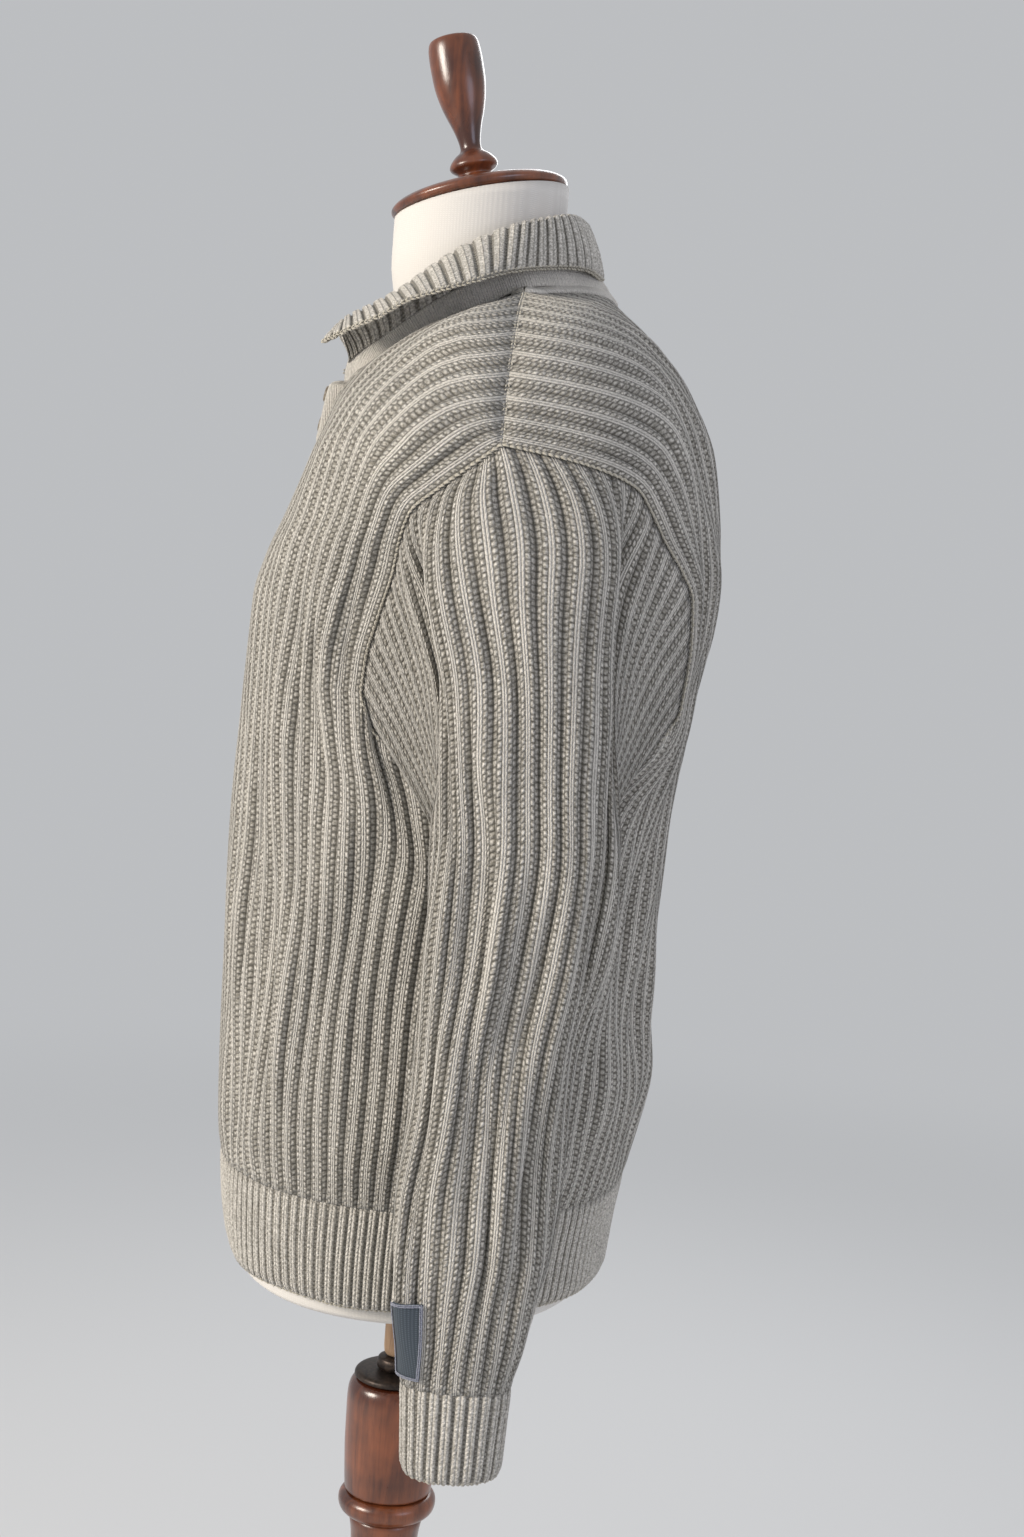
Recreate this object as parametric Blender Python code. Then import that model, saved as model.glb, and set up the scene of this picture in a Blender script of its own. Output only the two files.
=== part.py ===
"""A ribbed button-neck sweater that hangs on a limbless dress form and its stand."""
import bpy
import numpy as np

# Lengths in the tables and in the shape functions are centimetres; solids are written in metres.
CENTIMETRE = 0.01
GAP = 0.03                  # air between pieces where they are sewn
WALL = 0.30                 # thickness of the knitted wall under its ribs
BAND_WALL = 0.28            # thickness of collar, hem, cuff and neck band walls
FLAT_EDGE = 30.55           # half of a panel laid flat
RIB = 1.30                  # one rib of the panels laid flat
RIB_RISE = 0.17             # how far a rib stands over the valley beside it
ARM_EDGE = 24.05            # panel half width above the armhole corner
NECK_EDGE = 8.45            # panel half width taken by the neckline
CAP_HALF = 26.875           # half of the sleeve's top edge laid flat
SLEEVE_LENGTH = 59.0        # shoulder to cuff seam
UNDER_LENGTH = 38.0         # underarm to cuff seam
SEAM_HEIGHT = 78.6          # seam between a panel and its hem band
HEM_BOTTOM = 71.6
HEM_RIB = 0.69
CUFF_RIBS = 26
CUFF_TOP = 69.5
CUFF_BOTTOM = 63.6
COLLAR_RIBS = 54
ARMHOLE_HEART = (19.5, 3.3, 117.5)
CAP_COLUMNS = 43            # half ribs of the sleeve on each side of the shoulder point
CAP_CORNER = 33             # the one that meets the corner where the underarm edge starts
# Places on that seam where the panel has points.
CAP_NODES = (0, 7, 13, 19, 27, 33, 34, 35, 36, 37, 38, 39, 40, 41, 42, 43)
CORNER_HEIGHT = 113.0       # top of the underarm edge
SHOULDER_HEIGHT = 129.0     # where shoulder seam and armhole meet
SHOULDER_START = 117.0      # from here up the ribs start to turn over the shoulder
SWING_FALL = 0.5            # how soon a rib leaves the shoulder seam, and where it has settled
SWING_END = 14.0
TUBE_POWER = 2.3            # squareness of the sleeve's cross section
BODY_POWER = 2.35           # squareness of the body where the sleeve hangs beside it
SLEEVE_ROOM = 0.7           # air between the body and the hanging sleeve
SEAM_ROOM = 0.6             # degrees of the section left open at the underarm seam
CROWN_HALF = 8.0            # half width of the sleeve that keeps its full length
BAND_RISE = 0.136           # how far a rib stands on collar, hem and cuffs
HEM_SHARE = 0.827           # hem width drawn in by its narrow ribs
PANEL_ROWS_BELOW = (0.0, 0.13, 0.34, 0.68, 1.0)     # rows of points below the armhole corner
PANEL_ROWS_ABOVE = tuple(1 - node / CAP_CORNER for node in reversed(CAP_NODES[:6]))
SLEEVE_ROWS = (0.0, 0.07, 0.15, 0.26, 0.42, 0.62, 0.82, 1.0)
COLLAR_STOPS = (0.0, 1.0, 2.3, 3.4, 4.7, 6.0)       # rows of the collar, band to free edge
COLLAR_FADE = (0.4, 1.0, 1.0, 1.0, 1.0, 0.7)        # share of the rib's rise on each of them
BEND_BACK = 0.55            # the roll of the fold before it turns over
BEND_DROP = 0.45
LIP_SHARE = 0.16            # places on the fall of the collar, and how far they stand off it
LIP_RISE = 0.30
BELLY_SHARE = 0.58
BELLY_RISE = 0.055

RING_NAMES = ("height", "front", "back", "half_width", "side", "front_power", "back_power")
RINGS = (
    (71.6, -13.2, 15.0, 17.8, 1.2, 2.3, 2.3),
    (75.0, -13.8, 15.3, 18.1, 1.3, 2.3, 2.3),
    (78.6, -14.1, 15.9, 18.4, 1.5, 2.3, 2.3),
    (82.2, -14.4, 16.5, 19.3, 1.7, 2.3, 2.3),
    (86.9, -14.5, 17.2, 19.7, 2.0, 2.3, 2.3),
    (91.5, -14.6, 16.7, 19.6, 2.3, 2.3, 2.3),
    (97.6, -14.8, 16.8, 19.6, 3.0, 2.3, 2.4),
    (103.7, -14.8, 17.0, 19.8, 3.9, 2.3, 2.4),
    (109.7, -14.6, 17.6, 20.0, 4.4, 2.3, 2.5),
    (113.0, -14.5, 18.0, 19.9, 3.8, 2.3, 2.7),
    (118.8, -14.2, 18.9, 20.8, 2.8, 2.3, 2.8),
    (122.0, -13.3, 19.1, 21.9, 2.6, 2.3, 2.8),
    (124.7, -12.2, 18.9, 23.2, 2.9, 2.2, 2.7),
    (127.6, -11.1, 18.5, 24.2, 3.2, 2.2, 2.5),
    (129.0, -10.6, 18.3, 24.5, 3.3, 2.2, 2.4),
    (131.0, -9.9, 18.0, 23.7, 3.3, 2.1, 2.3),
    (133.0, -9.4, 17.3, 22.4, 3.4, 1.9, 2.3),
    (134.7, -8.7, 16.5, 21.3, 3.5, 1.7, 2.2),
    (135.9, -6.8, 15.7, 20.4, 3.5, 1.9, 2.2),
    (137.0, -5.0, 14.8, 19.2, 3.6, 2.1, 2.1),
    (138.0, -3.3, 14.0, 17.6, 3.6, 2.2, 2.1),
    (139.2, -0.9, 12.9, 15.2, 3.7, 2.2, 2.0),
    (140.2, 0.9, 11.9, 12.2, 3.8, 2.1, 2.0),
    (141.4, 3.4, 10.9, 7.6, 3.9, 2.0, 2.0),
    (142.0, 3.5, 10.5, 6.4, 4.0, 2.0, 2.0),
    (142.9, 3.6, 9.7, 3.2, 4.1, 2.0, 2.0),
)
FRONT_ARMHOLE = (
    (24.5, 3.3, 129.0),
    (24.1, 1.4, 127.5),
    (23.5, -0.4, 126.1),
    (22.5, -2.1, 124.6),
    (21.4, -2.7, 122.8),
    (20.5, -3.0, 121.0),
    (19.4, -3.9, 117.8),
    (18.8, -4.5, 115.3),
    (18.5, -4.7, 113.0),
)
FRONT_UNDERARM = (
    (18.5, -4.7, 113.0),
    (18.6, -3.9, 110.9),
    (18.9, -2.2, 109.1),
    (19.8, 0.6, 107.7),
    (20.5, 4.4, 107.2),
)
BACK_ARMHOLE = (
    (24.5, 3.3, 129.0),
    (24.3, 6.9, 128.5),
    (23.5, 9.5, 128.0),
    (22.1, 11.9, 127.1),
    (20.9, 13.0, 125.7),
    (19.5, 14.1, 124.0),
    (18.0, 15.4, 122.3),
    (16.7, 16.3, 120.6),
    (16.2, 16.5, 117.5),
    (16.4, 16.1, 113.0),
)
BACK_UNDERARM = (
    (16.4, 16.1, 113.0),
    (17.3, 14.6, 110.9),
    (18.7, 12.0, 109.2),
    (20.0, 8.4, 107.8),
    (20.5, 4.4, 107.2),
)
NECK_NAMES = ("flat", "x", "y", "height")
FRONT_NECK = (
    (0.0, 0.0, -8.8, 134.5),
    (1.9, 2.1, -8.4, 134.6),
    (3.1, 3.3, -7.0, 135.0),
    (4.4, 4.6, -5.3, 136.0),
    (5.6, 5.9, -3.6, 137.1),
    (6.8, 7.0, -1.5, 138.7),
    (7.7, 7.6, 0.9, 139.9),
    (8.45, 7.6, 3.8, 141.4),
)
BACK_NECK = (
    (0.0, 0.0, 9.6, 142.9),
    (3.4, 3.5, 7.9, 142.5),
    (6.2, 6.0, 6.0, 142.0),
    (8.45, 7.6, 3.8, 141.4),
)
SHOULDER = (
    (8.45, 7.6, 3.8, 141.4),
    (11.1, 11.5, 3.8, 140.4),
    (13.6, 15.2, 3.7, 139.2),
    (15.6, 18.0, 3.6, 137.8),
    (17.3, 20.0, 3.5, 136.2),
    (19.1, 21.7, 3.4, 134.2),
    (21.1, 23.2, 3.3, 131.8),
    (24.05, 24.5, 3.3, 129.0),
)
TURN_NAMES = ("height", "front_turn", "back_turn")
ARM_TURNS = (
    (78.6, 0.80, 0.78),
    (95.0, 0.79, 0.75),
    (105.0, 0.75, 0.70),
    (113.0, 0.68, 0.55),
)
# Large creases: face, flat place, lowest and highest point, lean, width, rise.
BODY_CREASES = (
    (-1, 21.0, 107.0, 124.0, -0.10, 1.5, 0.75),
    (-1, 17.8, 104.0, 122.0, -0.16, 1.2, -0.55),
    (-1, 23.0, 97.0, 112.0, 0.14, 1.4, 0.45),
    (-1, 14.5, 84.0, 108.0, 0.06, 1.5, -0.45),
    (-1, 11.5, 86.0, 104.0, -0.05, 1.3, 0.35),
    (-1, 18.0, 82.0, 101.0, -0.08, 1.4, 0.45),
    (-1, -13.5, 85.0, 109.0, 0.05, 1.5, -0.45),
    (-1, -17.0, 83.0, 103.0, -0.06, 1.3, 0.45),
    (-1, -20.5, 106.0, 124.0, 0.11, 1.5, 0.70),
    (-1, -5.5, 80.0, 94.0, 0.04, 1.4, 0.20),
    (1, 8.5, 80.0, 99.0, 0.08, 1.7, 0.40),
    (1, 15.5, 84.0, 112.0, 0.10, 1.7, -0.60),
    (1, 20.0, 84.0, 110.0, 0.06, 1.6, 0.60),
    (1, -9.0, 81.0, 101.0, -0.07, 1.7, 0.40),
    (1, -15.0, 85.0, 111.0, -0.10, 1.7, -0.60),
    (1, -20.5, 83.0, 108.0, -0.05, 1.6, 0.55),
)
TUBE_NAMES = ("height", "x", "y", "half_thick", "half_deep", "edge_flat")
SLEEVE_TUBE = (
    (63.6, 23.7, 4.75, 2.1, 3.15, 6.3),
    (69.5, 23.7, 4.75, 2.3, 3.5, 6.3),
    (72.5, 23.8, 4.9, 2.7, 3.9, 6.5),
    (75.0, 23.9, 5.0, 2.8, 4.3, 6.7),
    (78.7, 24.0, 5.2, 2.9, 4.8, 7.0),
    (81.5, 24.0, 5.2, 2.9, 4.9, 7.2),
    (87.0, 24.1, 5.4, 2.9, 4.7, 7.6),
    (91.3, 24.2, 5.6, 2.9, 4.8, 7.9),
    (97.5, 24.3, 6.3, 3.0, 5.4, 8.4),
    (103.6, 24.3, 6.7, 3.0, 5.7, 8.4),
    (108.0, 24.2, 6.4, 3.0, 5.6, 8.0),
    (113.9, 23.9, 6.0, 3.0, 5.6, 7.4),
    (120.0, 23.4, 5.2, 3.0, 6.1, 6.6),
    (126.0, 22.7, 4.7, 2.9, 6.7, 6.2),
)
SWEEP_NAMES = ("flat", "reach")
SLEEVE_SWEEP = (
    (0.0, 7.0),
    (6.0, 8.0),
    (10.0, 14.0),
    (16.0, 17.0),
    (22.0, 18.0),
    (27.0, 16.0),
)
# Folds of the sleeve: flat place, start and end along it, lean, width, push outward and backward.
SLEEVE_TUCKS = (
    (-8.1, 0.0, 21.0, 0.02, 1.5, -0.8, 1.1),
    (7.9, 0.0, 23.0, 0.00, 1.6, -0.8, -1.0),
    (-3.4, 14.0, 40.0, 0.02, 0.9, -0.45, 0.0),
    (0.6, 22.0, 47.0, -0.03, 0.9, -0.50, 0.0),
    (4.2, 12.0, 36.0, 0.03, 0.9, -0.55, 0.0),
    (-1.4, 33.0, 57.0, 0.05, 0.8, -0.45, 0.0),
    (3.6, 38.0, 57.0, -0.04, 0.8, -0.45, 0.0),
    (8.4, 24.0, 50.0, -0.03, 1.4, 0.1, 0.55),
)
COLLAR_NAMES = ("seam_x", "seam_y", "seam_z", "top_x", "top_y", "top_z",
                "fold_x", "fold_y", "fold_z", "edge_x", "edge_y", "edge_z")
COLLAR_ROWS = (
    (2.1, -8.6, 134.9, 2.7, -8.7, 136.1, 5.9, -9.2, 137.9, 9.0, -10.0, 136.9),
    (3.3, -7.1, 135.1, 3.8, -7.9, 136.6, 5.9, -8.6, 138.6, 10.7, -8.3, 137.4),
    (4.6, -5.4, 136.1, 5.0, -6.6, 137.4, 6.4, -7.0, 139.5, 11.7, -6.0, 138.2),
    (5.9, -3.7, 137.2, 6.3, -4.9, 138.5, 7.1, -5.1, 140.6, 12.0, -4.0, 139.4),
    (7.0, -1.5, 138.8, 7.2, -2.4, 140.3, 7.8, -2.9, 142.4, 12.1, -1.7, 140.3),
    (7.6, 0.9, 140.1, 7.7, 0.2, 141.7, 8.2, -0.6, 144.0, 11.9, 0.4, 141.1),
    (7.6, 3.7, 141.6, 7.6, 3.0, 143.1, 7.9, 2.5, 145.6, 10.8, 2.5, 142.1),
    (6.0, 6.0, 142.2, 6.2, 5.4, 143.7, 6.3, 4.8, 146.6, 8.3, 5.2, 143.0),
    (3.5, 7.9, 142.6, 3.6, 7.3, 144.1, 3.5, 6.8, 147.4, 4.6, 7.9, 143.6),
    (0.0, 9.6, 143.0, 0.0, 8.7, 144.4, 0.0, 8.0, 147.7, 0.0, 9.6, 143.8),
)
TORSO_NAMES = ("height", "front", "back", "half_width", "side", "front_power", "back_power")
TORSO_RINGS = (
    (70.2, -11.9, 13.3, 16.2, 1.0, 2.3, 2.3),
    (70.6, -12.3, 13.7, 16.6, 1.0, 2.3, 2.3),
    (87.0, -12.0, 14.1, 16.0, 1.5, 2.3, 2.3),
    (95.0, -11.3, 13.2, 15.3, 2.0, 2.3, 2.3),
    (104.0, -11.9, 13.9, 16.3, 2.6, 2.3, 2.3),
    (112.0, -12.1, 15.2, 17.2, 2.8, 2.2, 2.3),
    (119.0, -11.4, 16.2, 18.0, 2.7, 2.2, 2.3),
    (125.0, -9.6, 16.2, 18.7, 2.9, 2.1, 2.3),
    (129.0, -8.3, 15.7, 18.9, 3.1, 2.1, 2.2),
    (132.0, -7.4, 14.9, 18.6, 3.2, 2.0, 2.1),
    (134.0, -6.7, 13.8, 16.6, 3.2, 1.7, 2.0),
    (136.0, -6.1, 12.0, 12.0, 2.6, 1.5, 1.9),
    (137.4, -5.8, 10.8, 8.9, 1.8, 1.5, 1.9),
    (138.8, -5.7, 9.0, 6.9, 1.2, 1.7, 1.9),
    (140.0, -5.7, 8.0, 6.2, 0.8, 1.9, 1.9),
    (144.0, -6.2, 6.7, 6.3, 0.2, 2.0, 2.0),
    (146.6, -6.2, 6.4, 6.3, 0.0, 2.0, 2.0),
)
NECK_TOP = (0.0, 0.0, 148.5)        # middle of the sloping top of the neck
NECK_TILT = 14.0                    # degrees that the neck top leans to the front
# Turned pieces are rows of radius and height, top to bottom.
CAP_PROFILE = ((0.0, 1.3), (4.2, 1.25), (5.9, 1.0), (6.5, 0.65), (6.55, 0.35), (6.3, 0.03), (0.0, 0.03))
FINIAL_PROFILE = (
    (0.0, 12.1), (1.5, 12.1), (1.85, 11.8), (1.95, 10.6), (1.9, 8.6), (1.55, 7.0), (1.0, 5.5),
    (0.75, 4.4), (0.8, 3.9), (1.3, 3.6), (1.75, 3.1), (1.8, 2.7), (1.25, 2.35), (1.2, 2.1),
    (1.75, 1.75), (1.8, 1.36), (0.0, 1.36),
)
POLE_PROFILE = ((0.0, 70.16), (1.05, 70.16), (1.05, 61.93), (0.0, 61.93))
BOSS_PROFILE = ((0.0, 61.9), (1.3, 61.9), (1.5, 61.6), (1.5, 60.83), (0.0, 60.83))
DISC_PROFILE = ((0.0, 60.8), (2.9, 60.8), (3.15, 60.6), (3.15, 60.23), (0.0, 60.23))
COLUMN_PROFILE = (
    (0.0, 60.2), (3.1, 60.2), (3.45, 59.8), (3.6, 59.0), (3.55, 55.0), (3.35, 51.6), (3.2, 51.43),
    (0.0, 51.43),
)
BEAD_PROFILE = (
    (0.0, 51.4), (3.3, 51.4), (3.7, 51.0), (3.75, 50.5), (3.6, 50.0), (3.1, 49.63), (0.0, 49.63),
)
SHAFT_PROFILE = (
    (0.0, 49.6), (2.9, 49.6), (2.6, 48.2), (2.4, 44.0), (2.5, 34.0), (2.9, 22.0), (3.4, 12.0),
    (3.9, 7.0), (4.3, 5.2), (4.9, 4.9), (5.1, 4.3), (5.0, 3.63), (0.0, 3.63),
)
BASE_PROFILE = (
    (0.0, 3.6), (6.5, 3.6), (7.0, 3.2), (14.0, 2.8), (20.0, 2.5), (21.0, 2.1), (21.2, 1.5),
    (20.9, 0.5), (20.6, 0.0), (0.0, 0.0),
)
TURNED_STEPS = 20
PLACKET_HALF = 1.5
PLACKET_LOW = 130.2
PLACKET_HIGH = 134.9
PLACKET_WALL = 0.28
PLACKET_LEAN = 0.70         # how far its top stands off the front
PLACKET_CLEAR = 0.16        # air behind it, over the ribs
BUTTONS = (("button_upper", 134.0), ("button_lower", 131.8))     # name and height
BUTTON_RADIUS = 0.60
BUTTON_THICKNESS = 0.25
BUTTON_CLEAR = 0.10
BUTTON_PROFILE = (
    (0.0, BUTTON_THICKNESS), (0.48, BUTTON_THICKNESS), (BUTTON_RADIUS, 0.18),
    (BUTTON_RADIUS, 0.06), (0.48, 0.0), (0.0, 0.0),
)
LABEL_FLAT = (-5.2, -2.6)           # where the patch lies across the left sleeve
LABEL_ALONG = (53.0, 58.2)          # and along it, from the armhole seam
LABEL_WALL = 0.12
LABEL_CLEAR = 0.06


def table(names, rows):
    """Columns of a table by name."""
    return {name: np.array([row[i] for row in rows]) for i, name in enumerate(names)}


def read_column(sheet, key, name, at):
    """Smooth reading of one column at values of the key column, level past its ends."""
    order = np.argsort(sheet[key])
    keys = sheet[key][order]
    values = sheet[name][order]
    steps = np.diff(keys)
    slopes = np.diff(values) / steps
    tangents = np.zeros(len(keys))
    same_way = slopes[:-1] * slopes[1:] > 0
    weight_a = 2 * steps[1:] + steps[:-1]
    weight_b = steps[1:] + 2 * steps[:-1]
    inner = np.zeros(len(keys) - 2)
    inner[same_way] = (weight_a + weight_b)[same_way] / (
        weight_a[same_way] / slopes[:-1][same_way] + weight_b[same_way] / slopes[1:][same_way])
    tangents[1:-1] = inner
    tangents[0] = slopes[0]
    tangents[-1] = slopes[-1]
    at = np.clip(at, keys[0], keys[-1])
    place = np.clip(np.searchsorted(keys, at, side="right") - 1, 0, len(keys) - 2)
    run = steps[place]
    share = (at - keys[place]) / run
    square = share * share
    cube = square * share
    start = (2 * cube - 3 * square + 1) * values[place] + (cube - 2 * square + share) * run * tangents[place]
    end = (3 * square - 2 * cube) * values[place + 1] + (cube - square) * run * tangents[place + 1]
    return start + end


def ease(value):
    """Soft step from 0 to 1."""
    value = np.clip(value, 0.0, 1.0)
    return value * value * (3 - 2 * value)


def unit(vectors):
    """Vectors at length one."""
    lengths = np.linalg.norm(vectors, axis=-1, keepdims=True)
    return vectors / np.maximum(lengths, 1e-9)


def measured(rows):
    """Points of a curve table with their running length, from 0 to 1."""
    points = np.array(rows, dtype=float)
    lengths = np.concatenate(([0.0], np.cumsum(np.linalg.norm(np.diff(points, axis=0), axis=1))))
    sheet = {"x": points[:, 0], "y": points[:, 1], "height": points[:, 2], "run": lengths / lengths[-1]}
    return sheet


def read_point(sheet, key, at):
    """Point of a curve table at values of its key column."""
    return np.stack([read_column(sheet, key, name, at) for name in ("x", "y", "height")], axis=-1)


RING = table(RING_NAMES, RINGS)
UNDERARMS = {-1: measured(FRONT_UNDERARM), 1: measured(BACK_UNDERARM)}
NECKLINES = {-1: table(NECK_NAMES, FRONT_NECK), 1: table(NECK_NAMES, BACK_NECK)}
SHOULDER_LINE = table(NECK_NAMES, SHOULDER)
TURNS = table(TURN_NAMES, ARM_TURNS)
TUBE = table(TUBE_NAMES, SLEEVE_TUBE)
SWEEP = table(SWEEP_NAMES, SLEEVE_SWEEP)
COLLAR = table(COLLAR_NAMES, COLLAR_ROWS)
CAPS = {-1: measured(FRONT_ARMHOLE), 1: measured(BACK_ARMHOLE)}
CAP_SHARES = np.linspace(0, 1, CAP_CORNER + 1)
ARMHOLES = {face: measured(read_point(CAPS[face], "run", CAP_SHARES)) for face in (-1, 1)}


def ring_point(sheet, height, turn, face):
    """Point on a body ring: turn is 0 at the centre line and 1 at the side seam."""
    wide = read_column(sheet, "height", "half_width", height)
    side = read_column(sheet, "height", "side", height)
    edge_name, power_name = ("front", "front_power") if face < 0 else ("back", "back_power")
    deep = np.abs(read_column(sheet, "height", edge_name, height) - side)
    power = read_column(sheet, "height", power_name, height)
    angle = turn * np.pi / 2
    across = np.sqrt(wide / deep) * np.sin(angle)
    along = np.cos(angle)
    length = np.hypot(across, along)
    across = np.abs(across / length)
    along = np.abs(along / length)
    reach = ((across / wide) ** power + (along / deep) ** power) ** (-1 / power)
    return np.stack([reach * across, side + face * reach * along, height + 0 * reach], axis=-1)


def turn_at(x, y, height, face):
    """Turn of a point that lies near the ring at its height."""
    wide = read_column(RING, "height", "half_width", height)
    side = read_column(RING, "height", "side", height)
    edge_name = "front" if face < 0 else "back"
    deep = np.abs(read_column(RING, "height", edge_name, height) - side)
    angle = np.arctan2(x / np.sqrt(wide / deep), np.maximum(face * (y - side), 0.0))
    return angle / (np.pi / 2)


def top_point(flat, face):
    """Where a line of stitches ends: on the neckline, or on the shoulder seam beyond it."""
    neck = read_point(NECKLINES[face], "flat", flat)
    shoulder = read_point(SHOULDER_LINE, "flat", flat)
    return np.where((flat <= NECK_EDGE)[..., None], neck, shoulder)


def under_point(flat, face):
    """Edge under the arm, from the armhole corner to the side seam."""
    return read_point(UNDERARMS[face], "run", (flat - ARM_EDGE) / (FLAT_EDGE - ARM_EDGE))


def arm_turn(height, face):
    """Turn of the armhole edge, or of the line of stitches below it."""
    name = "front_turn" if face < 0 else "back_turn"
    below = read_column(TURNS, "height", name, height)
    hole = ARMHOLES[face]
    edge = read_point(hole, "height", np.clip(height, CORNER_HEIGHT, SHOULDER_HEIGHT))
    above = turn_at(edge[..., 0], edge[..., 1], np.clip(height, CORNER_HEIGHT, SHOULDER_HEIGHT), face)
    share = ease((height - (CORNER_HEIGHT - 6)) / 6)
    return below * (1 - share) + above * share


def body_turn(flat, height, face):
    """How far round its ring a line of stitches has gone at a height."""
    inside = np.minimum(flat, ARM_EDGE)
    share = inside / ARM_EDGE
    top = top_point(inside, face)
    top_turn = np.where(inside <= NECK_EDGE, turn_at(top[..., 0], top[..., 1], top[..., 2], face), 1.0)
    reach = ease((height - SHOULDER_START) / (top[..., 2] - SHOULDER_START))
    arm = arm_turn(height - (top[..., 2] - SHOULDER_HEIGHT) * reach, face)
    fall = np.maximum(top[..., 2] - height, 0.0)
    swing = (1 - ease(fall / SWING_END)) / (1 + fall / SWING_FALL)
    lower = share * arm + (top_turn - share) * swing
    beyond = arm + (flat - ARM_EDGE) / (FLAT_EDGE - ARM_EDGE) * (1 - arm)
    return np.where(flat > ARM_EDGE, beyond, lower)


def ring_or_edge(flat, height, face):
    """Body point with the armhole and the underarm edges pulled onto their own curves."""
    raw = ring_point(RING, height, body_turn(flat, height, face), face)
    hole = ARMHOLES[face]
    held = np.clip(height, CORNER_HEIGHT, SHOULDER_HEIGHT)
    edge_flat = np.full_like(height, ARM_EDGE)
    on_ring = ring_point(RING, held, body_turn(edge_flat, held, face), face)
    pull = read_point(hole, "height", held) - on_ring
    near_edge = ease((flat - (ARM_EDGE - 7)) / 7) * ease((height - (CORNER_HEIGHT - 8)) / 8)
    inner = pull * (near_edge * (height <= SHOULDER_HEIGHT + 0.01))[..., None]
    past_corner = np.maximum(flat, ARM_EDGE)
    under = under_point(past_corner, face)
    under_ring = ring_point(RING, under[..., 2], body_turn(past_corner, under[..., 2], face), face)
    outer = (under - under_ring) * ease((height - (under[..., 2] - 8)) / 8)[..., None]
    return raw + np.where((flat > ARM_EDGE)[..., None], outer, inner)


def body_point(flat, height, face):
    """Outer surface of a panel, for a place given by its flat distance from the centre line."""
    side = np.sign(flat) + (flat == 0)
    reach = np.abs(flat)
    top = top_point(reach, face)
    point = ring_or_edge(reach, height, face)
    lift = top - ring_or_edge(reach, top[..., 2], face)
    over = (reach <= ARM_EDGE + 1e-6) * ease((height - (top[..., 2] - 6)) / 6)
    point = point + lift * over[..., None]
    point[..., 0] *= side
    return point


def body_crease(flat, height, face):
    """Rise of the large creases of a panel."""
    rise = 0.0 * height
    for row_face, middle, low, high, lean, width, amount in BODY_CREASES:
        if row_face != face:
            continue
        centre = middle + lean * (height - (low + high) / 2)
        window = ease((height - low) / (high - low) * 2.4) * ease((high - height) / (high - low) * 2.4)
        rise = rise + amount * window * np.exp(-((flat - centre) / width) ** 2)
    reach = np.abs(flat)
    seam = np.where(reach > ARM_EDGE, under_point(np.maximum(reach, ARM_EDGE), face)[..., 2],
                    top_point(np.minimum(reach, ARM_EDGE), face)[..., 2])
    beside = np.where(height > CORNER_HEIGHT - 1, ease((ARM_EDGE - reach) / 2.0), 1.0)
    return rise * ease((seam - height) / 3.0) * beside


def panel_height(flat, row, rows_below, rows_above, face):
    """Height of a grid row: rows below the armhole corner, then rows above it."""
    reach = np.abs(flat)
    under = under_point(np.maximum(reach, ARM_EDGE), face)[..., 2]
    corner = np.where(reach > ARM_EDGE + 1e-6, under, CORNER_HEIGHT)
    top = top_point(np.minimum(reach, ARM_EDGE), face)[..., 2]
    lower = SEAM_HEIGHT + (corner - SEAM_HEIGHT) * np.minimum(row / rows_below, 1.0)
    rise = np.maximum(row - rows_below, 0.0) / rows_above
    edge = read_point(CAPS[face], "run", 1 - rise)[..., 2]
    edge_rise = (edge - CORNER_HEIGHT) / (SHOULDER_HEIGHT - CORNER_HEIGHT)
    rise = rise + (edge_rise - rise) * ease(reach / ARM_EDGE)
    upper = corner + (top - corner) * rise
    return np.where(row <= rows_below, lower, upper)


def grid_normals(points, flip):
    """Outward normals of a grid of points."""
    along = np.gradient(points, axis=0)
    across = np.gradient(points, axis=1)
    return unit(np.cross(across, along)) * flip


def cap_place(place, face):
    """Point of the armhole seam; place runs from the shoulder (0) past the corner to the side seam."""
    hole = read_point(CAPS[face], "run", np.minimum(place / CAP_CORNER, 1.0))
    under = read_point(UNDERARMS[face], "run", (place - CAP_CORNER) / (CAP_COLUMNS - CAP_CORNER))
    return np.where((place > CAP_CORNER)[..., None], under, hole)


def sleeve_cap(flat):
    """Seam where the sleeve joins the body: flat is negative in front, 0 on top, positive behind."""
    place = np.abs(flat) / CAP_HALF * CAP_COLUMNS
    nodes = np.array(CAP_NODES, dtype=float)
    low = np.clip(np.searchsorted(nodes, place, side="right") - 1, 0, len(nodes) - 2)
    share = ((place - nodes[low]) / (nodes[low + 1] - nodes[low]))[..., None]
    front = cap_place(nodes[low], -1) * (1 - share) + cap_place(nodes[low + 1], -1) * share
    back = cap_place(nodes[low], 1) * (1 - share) + cap_place(nodes[low + 1], 1) * share
    return np.where((flat < 0)[..., None], front, back)


def seam_side(place, face):
    """Direction across the armhole seam, from the body to the sleeve, on the left side."""
    step = 0.5
    after = cap_place(np.minimum(place + step, CAP_COLUMNS), face)
    line = after - cap_place(np.maximum(place - step, 0.0), face)
    ray = cap_place(place, face) - np.array(ARMHOLE_HEART)
    return unit(np.cross(line, ray)) * face


def soft_normals(points, flip, passes):
    """Outward normals evened out across the ribs and once along them."""
    normals = grid_normals(points, flip)
    for _ in range(passes):
        spread = normals.copy()
        spread[:, 1:-1] = normals[:, :-2] + 2 * normals[:, 1:-1] + normals[:, 2:]
        normals = unit(spread)
    spread = normals.copy()
    spread[1:-1] = normals[:-2] + 2 * normals[1:-1] + normals[2:]
    return unit(spread)


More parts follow.
